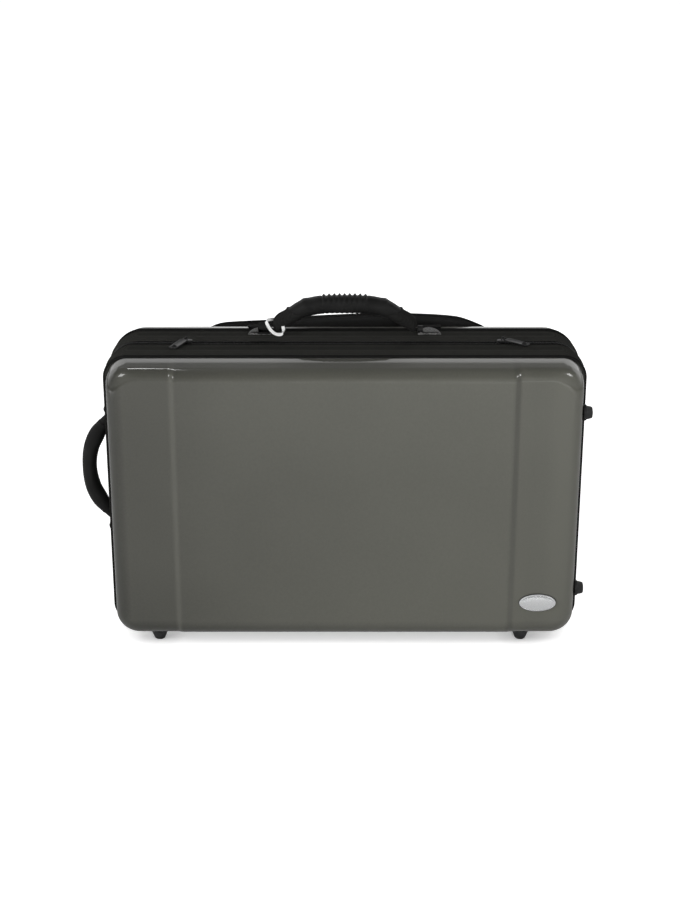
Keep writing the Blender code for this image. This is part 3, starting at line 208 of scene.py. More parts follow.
floor_mesh = bpy.data.meshes.new("floor")
bm = bmesh.new()
bmesh.ops.create_grid(bm, x_segments=1, y_segments=1, size=FLOOR_HALF)
bm.to_mesh(floor_mesh)
bm.free()
floor = bpy.data.objects.new("floor", floor_mesh)
bpy.context.scene.collection.objects.link(floor)
floor_paint = bpy.data.materials.new("floor_paint")
floor_paint.use_nodes = True
floor_tree = floor_paint.node_tree
paint = floor_tree.nodes["Principled BSDF"].inputs
paint["Base Color"].default_value = FLOOR_PAINT
paint["Roughness"].default_value = 0.9
paint["Emission Color"].default_value = (1.0, 1.0, 1.0, 1.0)
near = floor_tree.nodes.new("ShaderNodeAmbientOcclusion")
near.samples = 8
near.inputs["Distance"].default_value = FLOOR_SHADE_REACH
seen = floor_tree.nodes.new("ShaderNodeLightPath").outputs["Is Camera Ray"]
seen = calculate(floor_tree, "MULTIPLY", seen, near.outputs["AO"])
floor_tree.links.new(calculate(floor_tree, "MULTIPLY", seen, FLOOR_GLOW), paint["Emission Strength"])
floor_mesh.materials.append(floor_paint)
print("floor nodes:", len(floor_tree.nodes))


# %% [markdown]
# ## Finishes
# Every finish is a small tree of nodes on Object coordinates, which stay on the piece when it moves.
# A helper starts each one with its colour, and others add cloudy variation, threads and a bump.

# %% Helpers for finishes
WAVE_REPEAT = 0.314159


class Finish:
    """A material with a Principled shader and short ways to add detail to it."""

    def __init__(self, name, colour, roughness, metallic=0.0):
        self.material = bpy.data.materials.new(name)
        self.material.use_nodes = True
        self.material.diffuse_color = (*colour, 1.0)
        self.tree = self.material.node_tree
        self.shader = self.tree.nodes["Principled BSDF"]
        self.colour = colour
        self.set(Base_Color=(*colour, 1.0), Roughness=roughness, Metallic=metallic)
        self.place = self.tree.nodes.new("ShaderNodeTexCoord").outputs["Object"]
        self.height = None

    def set(self, **sockets):
        for name, value in sockets.items():
            self.shader.inputs[name.replace("_", " ")].default_value = value

    def join(self, output, place):
        self.tree.links.new(output, place)

    def combine(self, operation, first, second):
        return calculate(self.tree, operation, first, second)

    def clouds(self, size, detail=2.0, stretch=None):
        """A cloudy pattern whose patches are about size metres across."""
        made = self.tree.nodes.new("ShaderNodeTexNoise")
        made.inputs["Scale"].default_value = 1.0 / size
        made.inputs["Detail"].default_value = detail
        source = self.place
        if stretch:
            mapping = self.tree.nodes.new("ShaderNodeMapping")
            mapping.inputs["Scale"].default_value = stretch
            self.join(self.place, mapping.inputs["Vector"])
            source = mapping.outputs[0]
        self.join(source, made.inputs["Vector"])
        return made.outputs["Fac"]

    def bands(self, direction, pitch):
        """Even waves across one direction, pitch metres apart."""
        made = self.tree.nodes.new("ShaderNodeTexWave")
        made.bands_direction = direction
        made.inputs["Scale"].default_value = WAVE_REPEAT / pitch
        made.inputs["Detail"].default_value = 0.0
        self.join(self.place, made.inputs["Vector"])
        return made.outputs["Fac"]

    def weave(self, pitch, depth):
        """Crossed threads that read on faces turned any way."""
        crossed = self.combine("ADD", self.bands("X", pitch), self.bands("Z", pitch))
        threads = self.combine("ADD", crossed, self.bands("Y", pitch))
        self.bump(threads, depth)
        return threads

    def along(self, axis):
        """How far along one of the object's axes a place is, in metres."""
        parts = self.tree.nodes.new("ShaderNodeSeparateXYZ")
        self.join(self.place, parts.inputs[0])
        return parts.outputs[axis]

    def past(self, axis, start, rate):
        """0 on one side of start, and past it a value that grows by rate in every metre, up to 1."""
        grown = self.combine("MULTIPLY", self.combine("SUBTRACT", self.along(axis), start), rate)
        return self.combine("MINIMUM", self.combine("MAXIMUM", grown, 0.0), 1.0)

    def stripe(self, axis, low, high, rate, strength):
        """A stripe of one strength between two places, with soft sides."""
        inside = self.combine("MINIMUM", self.past(axis, low, rate), self.past(axis, high, -rate))
        return self.combine("MULTIPLY", inside, strength)

    def tint(self, factor, low, high, light=0.0, dark=1.0):
        """Colours the base from low to high times its colour, as the factor goes from light to dark."""
        ramp = self.tree.nodes.new("ShaderNodeValToRGB")
        for end, position, share in zip(ramp.color_ramp.elements, (light, dark), (low, high)):
            end.position = position
            end.color = (*[c * share for c in self.colour], 1.0)
        self.join(factor, ramp.inputs["Fac"])
        self.join(ramp.outputs["Color"], self.shader.inputs["Base Color"])

    def rough(self, factor, low, high):
        spread = spread_out(self.tree, factor, (0.0, 1.0), (low, high))
        self.join(spread, self.shader.inputs["Roughness"])

    def bump(self, height, depth, strength=1.0):
        made = self.tree.nodes.new("ShaderNodeBump")
        made.inputs["Distance"].default_value = depth
        made.inputs["Strength"].default_value = strength
        self.join(height, made.inputs["Height"])
        if self.height:
            self.join(self.height, made.inputs["Normal"])
        self.height = made.outputs[0]
        self.join(self.height, self.shader.inputs["Normal"])


# %% [markdown]
# ### Gel coat
# The shells have a metallic grey gel coat: pigment with fine flakes under a clear gloss layer. The
# coat gives the bright line on the upward wall, and the flakes keep the broad face even. Gel coat
# is sprayed by hand, so its colour changes a little in broad patches. Light and shade are painted
# into the colour as well: lighter towards the right, painted shade towards the left and at the left
# and bottom edges, a painted highlight on the panel's left step, painted shade on its right step and
# softer painted shade beyond it. These follow the object's own X and Z.

# %% Gel coat
# Painted light: how much lighter the coat's colour gets per metre towards the right.
PAINTED_LIGHT_DRIFT = 1.7
TONE_AND_LIGHT_LOW = -1.0
TONE_AND_LIGHT_HIGH = 1.25
# Painted shade: darker towards the left, at the left edge and at the bottom edge.
PAINTED_SHADE_BEYOND = (("X", -0.060, -3.0), ("X", -0.236, -80.0), ("Z", 0.036, -90.0))
# Painted highlight on the panel's left step, painted shade on its right step, softer painted shade beyond
# it.
PAINTED_STEP_STRIPES = (
    (-0.1850, -0.1745, 250.0, 0.46), (0.2075, 0.2195, 250.0, -0.46), (0.2180, 0.2660, 60.0, -0.24),
)

gel_coat = Finish("gel_coat", (0.084, 0.084, 0.070), 0.40, 0.10)
gel_coat.set(Coat_Weight=1.0, Coat_Roughness=0.03, Coat_IOR=1.5, Specular_IOR_Level=0.25)
flakes = gel_coat.clouds(0.0006, 1.0)
grain = gel_coat.combine("MULTIPLY", gel_coat.clouds(0.0026, 3.0), 0.5)
# Painted light: the colour grows lighter along X, towards the right.
painted_light_drift = gel_coat.combine("MULTIPLY", gel_coat.along("X"), PAINTED_LIGHT_DRIFT)
# Broad clouds give the coat's own patchy tone; painted light and shade are added to it below.
tone_and_painted_light = gel_coat.combine("ADD", gel_coat.combine("ADD", gel_coat.clouds(0.16, 1.0), painted_light_drift), grain)
# Painted shade is taken off the colour towards the left and at the left and bottom edges.
for axis, start, rate in PAINTED_SHADE_BEYOND:
    tone_and_painted_light = gel_coat.combine("SUBTRACT", tone_and_painted_light, gel_coat.past(axis, start, rate))
# Painted highlight and painted shade stripes along the panel's steps.
for low, high, rate, strength in PAINTED_STEP_STRIPES:
    tone_and_painted_light = gel_coat.combine("ADD", tone_and_painted_light, gel_coat.stripe("X", low, high, rate, strength))
tone_and_painted_light = gel_coat.combine("SUBTRACT", tone_and_painted_light, TONE_AND_LIGHT_LOW)
gel_coat.tint(gel_coat.combine("DIVIDE", tone_and_painted_light, TONE_AND_LIGHT_HIGH - TONE_AND_LIGHT_LOW), 0.40, 1.15)
gel_coat.rough(flakes, 0.34, 0.46)
gel_coat.bump(gel_coat.clouds(0.045, 2.0), 0.00022, 0.5)
gel_coat.bump(flakes, 0.00003, 0.4)
print("gel coat nodes:", len(gel_coat.tree.nodes))

# %% [markdown]
# ### Hard finishes
# The inside of the shells is bare laminate. The metal and plastic parts are small, so a cloudy
# change of roughness and a fine bump are enough to keep them from looking drawn.

# %% Hard finishes
shell_inside = Finish("shell_inside", (0.05, 0.05, 0.048), 0.75)
shell_inside.bump(shell_inside.clouds(0.004, 4.0), 0.0004)

black_zinc = Finish("black_zinc", (0.020, 0.020, 0.020), 0.36, 0.3)
black_zinc.set(Specular_IOR_Level=0.25)
black_zinc.tint(black_zinc.clouds(0.004, 3.0), 0.8, 1.6, 0.4, 0.75)
black_zinc.rough(black_zinc.clouds(0.003, 3.0), 0.28, 0.5)
black_zinc.bump(black_zinc.clouds(0.0008, 2.0), 0.00005)

satin_chrome = Finish("satin_chrome", (0.84, 0.85, 0.86), 0.22, 0.8)
satin_chrome.rough(satin_chrome.clouds(0.0012, 2.0, (1.0, 1.0, 14.0)), 0.17, 0.30)
satin_chrome.bump(satin_chrome.clouds(0.0008, 2.0, (1.0, 1.0, 14.0)), 0.00002)

nickel = Finish("nickel", (0.52, 0.52, 0.51), 0.25, 1.0)
nickel.rough(nickel.clouds(0.003, 3.0), 0.2, 0.38)
nickel.bump(nickel.clouds(0.0015, 3.0), 0.00004)

dark_plate_painted_glints = Finish("dark_plate_painted_glints", (0.085, 0.085, 0.083), 0.6)
dark_plate_painted_glints.set(Specular_IOR_Level=0.2)
# Painted highlight: the pale speckles stand for glints on the dark textured plastic.
dark_plate_painted_glints.tint(dark_plate_painted_glints.clouds(0.0016, 4.0), 0.25, 2.6, 0.36, 0.66)
dark_plate_painted_glints.bump(dark_plate_painted_glints.clouds(0.0014, 4.0), 0.0004)

moulded_rubber = Finish("moulded_rubber", (0.0115, 0.0115, 0.0113), 0.42)
moulded_rubber.set(Specular_IOR_Level=0.13)
moulded_rubber.tint(moulded_rubber.clouds(0.02, 2.0), 0.85, 1.25, 0.3, 0.7)
moulded_rubber.rough(moulded_rubber.clouds(0.008, 3.0), 0.44, 0.60)
moulded_rubber.bump(moulded_rubber.clouds(0.0011, 3.0), 0.00008)

foot_rubber = Finish("foot_rubber", (0.017, 0.017, 0.017), 0.55)
foot_rubber.set(Specular_IOR_Level=0.3)
foot_rubber.tint(foot_rubber.clouds(0.006, 3.0), 0.8, 1.7, 0.35, 0.75)
foot_rubber.rough(foot_rubber.clouds(0.004, 3.0), 0.45, 0.7)
foot_rubber.bump(foot_rubber.clouds(0.0012, 3.0), 0.00012)

buckle_plastic = Finish("buckle_plastic", (0.014, 0.014, 0.014), 0.4)
buckle_plastic.rough(buckle_plastic.clouds(0.004, 3.0), 0.32, 0.5)
buckle_plastic.bump(buckle_plastic.clouds(0.0009, 2.0), 0.00006)

white_nylon = Finish("white_nylon", (0.93, 0.93, 0.92), 0.4)
white_nylon.tint(white_nylon.clouds(0.006, 2.0), 0.92, 1.02, 0.3, 0.7)
white_nylon.bump(white_nylon.clouds(0.001, 2.0), 0.00005)

# %% [markdown]
# The fabrics are close to black, so what tells them apart is thread size, sheen and unevenness: a
# fine weave on the band, a coarser one on the webbing, pile on the lining.

# %% Soft finishes
band_cloth = Finish("band_cloth", (0.0480, 0.0480, 0.0445), 0.78)
band_cloth.set(Specular_IOR_Level=0.0)
band_threads = band_cloth.weave(0.00075, 0.00022)
band_cloth.tint(band_cloth.combine("MULTIPLY", band_threads, 0.4), 0.72, 1.28, 0.2, 0.95)
band_cloth.bump(band_cloth.clouds(0.022, 2.0), 0.0016, 0.45)

binding_cloth = Finish("binding_cloth", (0.017, 0.017, 0.0165), 0.62)
binding_cloth.set(Specular_IOR_Level=0.0)
binding_cloth.tint(binding_cloth.weave(0.0006, 0.00016), 0.75, 1.2, 0.4, 2.2)
binding_cloth.bump(binding_cloth.clouds(0.012, 2.0), 0.0007, 0.4)

zip_cloth = Finish("zip_cloth", (0.0040, 0.0040, 0.0040), 0.8)
zip_cloth.set(Specular_IOR_Level=0.0)
zip_cloth.tint(zip_cloth.weave(0.0005, 0.00012), 0.7, 1.3, 0.4, 2.2)

zip_nylon = Finish("zip_nylon", (0.009, 0.009, 0.009), 0.4)
zip_nylon.set(Specular_IOR_Level=0.2)
zip_nylon.tint(zip_nylon.clouds(0.004, 2.0), 0.6, 1.5, 0.35, 0.7)
zip_nylon.bump(zip_nylon.clouds(0.0008, 2.0), 0.00005)

webbing = Finish("webbing", (0.016, 0.016, 0.0155), 0.7)
webbing.set(Specular_IOR_Level=0.03)
webbing.tint(webbing.weave(0.0013, 0.00035), 0.65, 1.35, 0.4, 2.4)

thread = Finish("thread", (0.020, 0.020, 0.020), 0.6)
thread.set(Specular_IOR_Level=0.2)
thread.tint(thread.bands("X", 0.0004), 0.7, 1.3)
thread.bump(thread.clouds(0.0005, 1.0), 0.0001)

pad_cloth = Finish("pad_cloth", (0.0200, 0.0200, 0.0198), 0.72)
pad_cloth.set(Specular_IOR_Level=0.04)
pad_cloth.tint(pad_cloth.weave(0.0010, 0.00028), 0.72, 1.3, 0.4, 2.4)
pad_cloth.bump(pad_cloth.clouds(0.03, 2.0), 0.0025, 0.5)

plush = Finish("plush", (0.060, 0.060, 0.065), 0.95)
plush.set(Sheen_Weight=0.5, Sheen_Roughness=0.5)
plush.tint(plush.clouds(0.0022, 5.0), 0.6, 1.4, 0.3, 0.7)
plush.bump(plush.clouds(0.0016, 5.0), 0.0008)
plush.bump(plush.clouds(0.05, 2.0), 0.003, 0.4)
print("materials:", len(bpy.data.materials))


# %% [markdown]
# ## Making pieces
# Most of this case is one outline carried round: a rounded rectangle that changes a little from rim
# to rim. One helper draws that loop, by bevelling the corners of one face, and another bridges a
# row of loops into a skin. Two small ones come first: one picks out what an operator made, and one
# cuts every face along a plane.

# %% Loops and skins
CORNER_STEPS = 18
WELD = 1e-6


def only(kind, items):
    """Out of what an operator made, the items of one kind: Vert, Edge or Face."""
    return [item for item in items if isinstance(item, getattr(bmesh.types, "BM" + kind))]


def cut(bm, point, normal, drop=False):
    """Cuts every face along a plane, and drops what lies in front of it where asked."""
    everything = bm.verts[:] + bm.edges[:] + bm.faces[:]
    bmesh.ops.bisect_plane(
        bm, geom=everything, dist=WELD, plane_co=point, plane_no=normal, clear_outer=drop)


def rounded_loop(bm, half_width, half_height, radius, steps=CORNER_STEPS):
    """A loop of edges in the XZ plane: a rectangle whose corners are bevelled round."""
    corners = ((-1, -1), (1, -1), (1, 1), (-1, 1))
    face = bm.faces.new([bm.verts.new((x * half_width, 0.0, z * half_height)) for x, z in corners])
    bmesh.ops.bevel(
        bm, geom=face.verts[:], offset=radius, offset_type="OFFSET", affect="VERTICES", segments=steps,
        profile=0.5, material=-1)
    bm.faces.ensure_lookup_table()
    edges = bm.faces[0].edges[:]
    bmesh.ops.delete(bm, geom=bm.faces[:], context="FACES_ONLY")
    return edges


def loop_verts(edges):
    return list({vert for edge in edges for vert in edge.verts})


def case_loops(bm, rings, steps=CORNER_STEPS):
    """Loops round the case from rows of inset, corner radius there and y."""
    loops = []
    for inset, corner, y in rings:
        edges = rounded_loop(bm, HALF_WIDTH - inset, HALF_HEIGHT - inset, corner, steps)
        bmesh.ops.translate(bm, verts=loop_verts(edges), vec=(0.0, y, HALF_HEIGHT))
        loops.append(edges)
    return loops


def bridge(bm, loops, closed=False):
    for first, second in zip(loops, loops[1:]):
        bmesh.ops.bridge_loops(bm, edges=first + second)
    if closed:
        bmesh.ops.bridge_loops(bm, edges=loops[-1] + loops[0])


def skin(rings, closed=False, steps=CORNER_STEPS):
    bm = bmesh.new()
    bridge(bm, case_loops(bm, rings, steps), closed)
    return bm


# %% [markdown]
# Handles, straps, piping and wires are one small cross-section drawn along a path. The cross-section
# is extruded from place to place, and each place is a matrix: across, along, and out of the surface.

# %% Drawing a section along a path
def axes(across, along, out):
    """A matrix whose X, Y and Z lie along three directions."""
    return Matrix((across, along, out)).transposed().to_4x4()


def places_along(points, up, closed=False):
    """A matrix at each point: X across the path, Y along it, Z away from what it lies on."""
    count = len(points)
    places = []
    for i, point in enumerate(points):
        before = points[(i - 1) % count] if closed else points[max(0, i - 1)]
        after = points[(i + 1) % count] if closed else points[min(count - 1, i + 1)]
        along = (Vector(after) - Vector(before)).normalized()
        across = along.cross(Vector(up)).normalized()
        out = across.cross(along).normalized()
        places.append(Matrix.Translation(Vector(point)) @ axes(across, along, out))
    return places


def draw(places, half_width, half_height, radius, steps=4, closed=False):
    """Extrudes a rounded section through the places."""
    bm = bmesh.new()
    edges = rounded_loop(bm, half_width, half_height, radius, steps)
    bmesh.ops.transform(bm, matrix=places[0], verts=loop_verts(edges))
    first = edges
    for here, there in zip(places, places[1:]):
        grown = bmesh.ops.extrude_edge_only(bm, edges=edges)["geom"]
        verts = only("Vert", grown)
        edges = [edge for edge in only("Edge", grown) if edge.verts[0] in verts and edge.verts[1] in verts]
        bmesh.ops.transform(bm, matrix=there @ here.inverted(), verts=verts)
    if closed:
        bmesh.ops.bridge_loops(bm, edges=first + edges)
    else:
        bmesh.ops.holes_fill(bm, edges=first, sides=0)
        bmesh.ops.holes_fill(bm, edges=edges, sides=0)
    return bm


def tube(points, radius, up=(0, 0, 1), closed=False, steps=3):
    return draw(places_along(points, up, closed), radius, radius, radius * 0.999, steps, closed)


def ellipse(half_wide, half_tall, count):
    """Points round an ellipse, as pairs."""
    turns = [2 * math.pi * i / count for i in range(count)]
    return [(half_wide * math.cos(turn), half_tall * math.sin(turn)) for turn in turns]


def gather(*parts):
    whole = bmesh.new()
    for part in parts:
        mesh = bpy.data.meshes.new("part")
        part.to_mesh(mesh)
        part.free()
        whole.from_mesh(mesh)
        bpy.data.meshes.remove(mesh)
    return whole


def repeat(seed, places):
    """Many copies of one small bmesh, one at each matrix."""
    mesh = bpy.data.meshes.new("seed")
    seed.to_mesh(mesh)
    seed.free()
    whole = bmesh.new()
    for place in places:
        mesh.transform(place)
        whole.from_mesh(mesh)
        mesh.transform(place.inverted())
    bpy.data.meshes.remove(mesh)
    return whole


# %% [markdown]
# Every piece ends in the same way. Doubles are merged, faces are turned outwards, and edges over an
# angle are marked sharp, so that round parts shade smoothly and corners stay crisp.


# %% Finishing a piece
def new_object(name, bm, *finishes):
    """Keeps a finished bmesh as an object of the scene."""
    mesh = bpy.data.meshes.new(name)
    bm.to_mesh(mesh)
    bm.free()
    for finish in finishes:
        mesh.materials.append(finish.material)
    made = bpy.data.objects.new(name, mesh)
    bpy.context.scene.collection.objects.link(made)
    return made


def piece(name, bm, finish, body, replaced=(), smooth=40.0):
    """Puts a bmesh made in the case frame into the scene, with its finish, body and CAD nodes."""
    bmesh.ops.translate(bm, verts=bm.verts, vec=HOME)
    bmesh.ops.remove_doubles(bm, verts=bm.verts, dist=WELD)
    bmesh.ops.recalc_face_normals(bm, faces=bm.faces)
    made = new_object(name, bm, finish)
    made.data.shade_smooth()
    if smooth:
        made.data.set_sharp_from_angle(angle=math.radians(smooth))
    if body:
        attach(made, body)
    if replaced:
        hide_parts(*replaced)
    return made


def apply_modifiers(made):
    """Keeps the finished mesh and drops the modifiers that made it."""
    graph = bpy.context.evaluated_depsgraph_get()
    mesh = bpy.data.meshes.new_from_object(made.evaluated_get(graph))
    made.modifiers.clear()
    made.data = mesh

# %% [markdown]
# Stitches and the zip's coil are the same small bar, hundreds of times. A helper gives the places
# round the case where each one goes.

# %% Bars and places round the case
STITCH_WIDTH = 0.0007
STITCH_HEIGHT = 0.0005


def bar(size, bevel=0.0):
    """A small box, with its edges bevelled where asked."""
    bm = bmesh.new()
    bmesh.ops.create_cube(bm, size=1.0)
    bmesh.ops.scale(bm, vec=size, verts=bm.verts)
    if bevel:
        bmesh.ops.bevel(
            bm, geom=bm.edges[:], offset=bevel, affect="EDGES", segments=1, profile=0.5, material=-1)
    return bm


def stitch(length):
    """One sewn stitch along X."""
    return bar((length, STITCH_WIDTH, STITCH_HEIGHT), STITCH_HEIGHT * 0.35)


def round_case(inset, corner, y, pitch, whole=True):
    """Places round the case, pitch metres apart: X along the run, Z out of the case."""
    half_x = HALF_WIDTH - inset
    half_z = HALF_HEIGHT - inset
    run_x = 2 * (half_x - corner)
    run_z = 2 * (half_z - corner)
    arc = math.pi / 2 * corner
    total = 2 * (run_x + run_z) + 4 * arc
    count = int(total / pitch)
    places = []
    for i in range(count):
        distance = total * i / count
        angle = math.radians(-90)
        start = Vector((-run_x / 2, 0.0, -half_z))
        for run in (run_x, run_z, run_x, run_z):
            along = Vector((math.cos(angle + math.pi / 2), 0.0, math.sin(angle + math.pi / 2)))
            out = Vector((math.cos(angle), 0.0, math.sin(angle)))
            if distance <= run:
                point = start + along * distance
                break
            distance -= run
            centre = start + along * run - out * corner
            if distance <= arc:
                turned = angle + distance / corner
                out = Vector((math.cos(turned), 0.0, math.sin(turned)))
                along = Vector((-out.z, 0.0, out.x))
                point = centre + out * corner
                break
            distance -= arc
            angle += math.pi / 2
            start = centre + Vector((math.cos(angle), 0.0, math.sin(angle))) * corner
        point = point + Vector((0.0, y, HALF_HEIGHT))
        if whole or point.z > corner:
            places.append(Matrix.Translation(point) @ axes(along, out.cross(along), out))
    return places


# %% [markdown]
# ## Shells
# Each half shell is a shallow moulded tray: a drafted wall, a generous rounded edge and a broad
# face with a slightly raised centre panel. The loops give wall and edge. The face is cut a few
# times across each step of the panel, and what lies between the steps is lifted. Solidify gives
# the moulded wall its thickness. Weighted normals keep the broad face flat under its gloss.

# %% Shells
SHELL_INSET = 0.0032
SHELL_TALLER = {"front": 0.0014, "rear": 0.0}
SHELL_NARROWER = {"front": 0.0020, "rear": 0.0}
SHELL_DRAFT = math.radians(4.8)
SHELL_WALL = 0.0028
SHELL_EDGE = 0.014
SHELL_STRAIGHT = {"front": 0.0252, "rear": 0.012}
SHELL_CORNERS = {"front": (0.025, 0.028), "rear": (0.037, 0.038)}
PANEL_FLAT_HALF = 0.193
PANEL_EDGE_HALF = 0.201
PANEL_RAISE = 0.0035
WALL_STEPS = 8
WALL_BOW = 0.00025
EDGE_STEPS = 12
STEP_CUTS = 8
EDGE_RISE = SHELL_EDGE * (1 - math.sin(SHELL_DRAFT))
FRONT_FACE_Y = -RIM["front"] - SHELL_STRAIGHT["front"] - EDGE_RISE
REAR_PANEL_Y = RIM["rear"] + SHELL_STRAIGHT["rear"] + EDGE_RISE + PANEL_RAISE


def wall_inset(from_rim):
    """How far the drafted wall has come in, at a distance from the rim."""
    return SHELL_INSET + from_rim * math.tan(SHELL_DRAFT)


def shell_rings(half):
    """Rings from the rim over the bowed wall and the rounded edge to the face."""
    side, rim, straight = SIDE[half], RIM[half], SHELL_STRAIGHT[half]
    at_rim, at_face = SHELL_CORNERS[half]
    rings = [(SHELL_INSET, at_rim, side * (rim + GAP))]
    for i in range(1, WALL_STEPS):
        share = i / WALL_STEPS
        bowed = wall_inset(straight * share) - 4 * WALL_BOW * share * (1 - share)
        rings.append((bowed, at_rim, side * (rim + straight * share)))
    for i in range(EDGE_STEPS + 1):
        angle = SHELL_DRAFT + (math.pi / 2 - SHELL_DRAFT) * i / EDGE_STEPS
        inset = wall_inset(straight) + SHELL_EDGE * (math.cos(SHELL_DRAFT) - math.cos(angle))
        rise = SHELL_EDGE * (math.sin(angle) - math.sin(SHELL_DRAFT))
        corner = at_rim + (at_face - at_rim) * (0.5 + 0.5 * i / EDGE_STEPS)
        rings.append((inset, corner, side * (rim + straight + rise)))
    return rings


def raise_panel(bm, half):
    """Cuts the face along both steps of the panel, and lifts what lies between them."""
    side = SIDE[half]
    slope = PANEL_EDGE_HALF - PANEL_FLAT_HALF
    for sign in (-1, 1):
        for i in range(STEP_CUTS + 1):
            cut(bm, (sign * (PANEL_FLAT_HALF + slope * i / STEP_CUTS), 0, 0), (1, 0, 0))
    for vert in bm.verts:
        t = min(1.0, max(0.0, (PANEL_EDGE_HALF - abs(vert.co.x)) / slope))
        across = t * t * (3 - 2 * t)
        turned = (side * vert.co.y - RIM[half] - SHELL_STRAIGHT[half]) / EDGE_RISE
        vert.co.y += side * PANEL_RAISE * across * min(1.0, max(0.0, turned))


def make_shell(half):
    bm = bmesh.new()
    loops = case_loops(bm, shell_rings(half))
    bridge(bm, loops)
    bmesh.ops.holes_fill(bm, edges=loops[-1], sides=0)
    bmesh.ops.recalc_face_normals(bm, faces=bm.faces)
    share = (1 - SHELL_NARROWER[half] / HALF_WIDTH, 1.0, 1 + SHELL_TALLER[half] / HALF_HEIGHT)
    bmesh.ops.scale(bm, vec=share, space=Matrix.Translation((0, 0, -HALF_HEIGHT)), verts=bm.verts)
    raise_panel(bm, half)
    face = max(bm.faces, key=lambda f: f.calc_area())
    if face.normal.y * SIDE[half] < 0:
        bmesh.ops.reverse_faces(bm, faces=bm.faces[:])
    bmesh.ops.translate(bm, verts=bm.verts, vec=HOME)
    shell = new_object(half + "_shell_skin", bm, gel_coat, shell_inside)
    shell.data.shade_smooth()
    wall = shell.modifiers.new("wall", "SOLIDIFY")
    wall.thickness = SHELL_WALL
    wall.offset = -1.0
    wall.use_even_offset = True
    wall.material_offset = 1
    normals = shell.modifiers.new("normals", "WEIGHTED_NORMAL")
    normals.keep_sharp = True
    normals.weight = 80
    apply_modifiers(shell)
    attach(shell, BODY[half])
    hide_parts(half + "_shell")
    return shell


for half_name in HALVES:
    made_shell = make_shell(half_name)
    print(made_shell.name, len(made_shell.data.polygons), "faces")


# %% [markdown]
# ## Padded band
# Foam under nylon, sewn down at both edges, so its surface swells a little between the seams. The
# rings put a shallow sewn channel beside each edge and a soft crown between them.

# %% Bands
BAND_CROWN = 0.0022
BAND_WALL = 0.010
BAND_STEPS = 14
BAND_SEAM = 0.0006
CHANNEL_DEPTH = 0.0007
CHANNEL_SPREAD = 0.035
CHANNEL_SPOTS = (0.10, 0.90)
WELT_SEAT = 0.0035
WELT_WIDTH = 0.0092
ZIP_EDGE = ZIP_TAPE_WIDTH + GAP


def band_corner(y):
    """The band's corner radius, which grows from the front rim to the rear rim."""
    share = (y + RIM["front"]) / (RIM["front"] + RIM["rear"])
    return BAND_CORNER["front"] + share * (BAND_CORNER["rear"] - BAND_CORNER["front"])


def band_rings(half, profile):
    """Rings from rows of inset and distance from the zip, concentric with the band's corners."""
    side = SIDE[half]
    return [(inset, band_corner(side * y) - inset, side * y) for inset, y in profile]


def make_band(half):
    rim = RIM[half] - GAP
    welt_end = RIM[half] - WELT_WIDTH
    profile = [
        (BAND_WALL, rim), (WELT_SEAT, rim), (WELT_SEAT, welt_end), (BAND_CROWN, welt_end - BAND_SEAM)]
    start = welt_end - 2 * BAND_SEAM
    run = start - ZIP_EDGE - 0.0008
    for i in range(BAND_STEPS + 1):
        t = i / BAND_STEPS
        crown = BAND_CROWN * (1 - math.sin(math.pi * t) ** 0.7)
        dips = [CHANNEL_DEPTH * math.exp(-((t - spot) / CHANNEL_SPREAD) ** 2) for spot in CHANNEL_SPOTS]
        profile.append((crown + sum(dips), start - run * t))
    profile += [(BAND_CROWN + BAND_SEAM, ZIP_EDGE), (BAND_WALL, ZIP_EDGE)]
    made = piece(
        half + "_band_cover", skin(band_rings(half, profile), closed=True), band_cloth, BODY[half],
        (half + "_band",), 50.0)


# %% [markdown]
# ### Welts
# A binding tape is folded over each shell's rim, with a rounded cord inside it. Two rows of stitches
# run round each band, one on the welt and one beside the zip.

# %% Welts and rows of stitches
WELT_STEPS = 10
WELT_SWELL = 0.0026
WELT_DENT = 0.0006
WELT_SEAM = 0.62
ROW_PITCH = 0.0036
ROW_STITCH = 0.0026


def make_welt(half):
    outer = RIM[half] - GAP
    width = WELT_WIDTH - 2 * GAP
    seat = WELT_SEAT - GAP
    profile = [(seat, outer)]
    for i in range(WELT_STEPS + 1):
        t = i / WELT_STEPS
        swell = WELT_SWELL * math.sin(math.pi * min(1.0, 0.12 + 0.88 * t)) ** 0.55 if t < 1 else 0.0006
        dent = WELT_DENT * math.exp(-((t - WELT_SEAM) / 0.08) ** 2)
        profile.append((seat - max(0.0004, swell) + dent, outer - width * t))
    piece(
        half + "_welt_binding", skin(band_rings(half, profile), closed=True), binding_cloth, BODY[half],
        (half + "_welt",), 60.0)


def stitch_row(name, half, inset, y):
    signed = SIDE[half] * y
    places = round_case(inset, band_corner(signed) - inset, signed, ROW_PITCH)
    piece(name, repeat(stitch(ROW_STITCH), places), thread, BODY[half], smooth=0)


for half_name in HALVES:
    make_band(half_name)
    make_welt(half_name)
    stitch_row(half_name + "_welt_stitches", half_name, 0.0016, RIM[half_name] - WELT_SEAM * WELT_WIDTH)
    stitch_row(half_name + "_band_stitches", half_name, 0.0021, ZIP_EDGE + 0.0038)
print("bands, welts and their stitches made")


# %% [markdown]
# ## Zip
# A coil zip: two woven tapes, each with a nylon coil along its edge. The tape is a thin ring, the
# fold beside it a small cord under cloth, and every turn of the coil is one short rounded bar.
# Outside the sliders the coils mesh, and between them they stand apart over a dark slit.

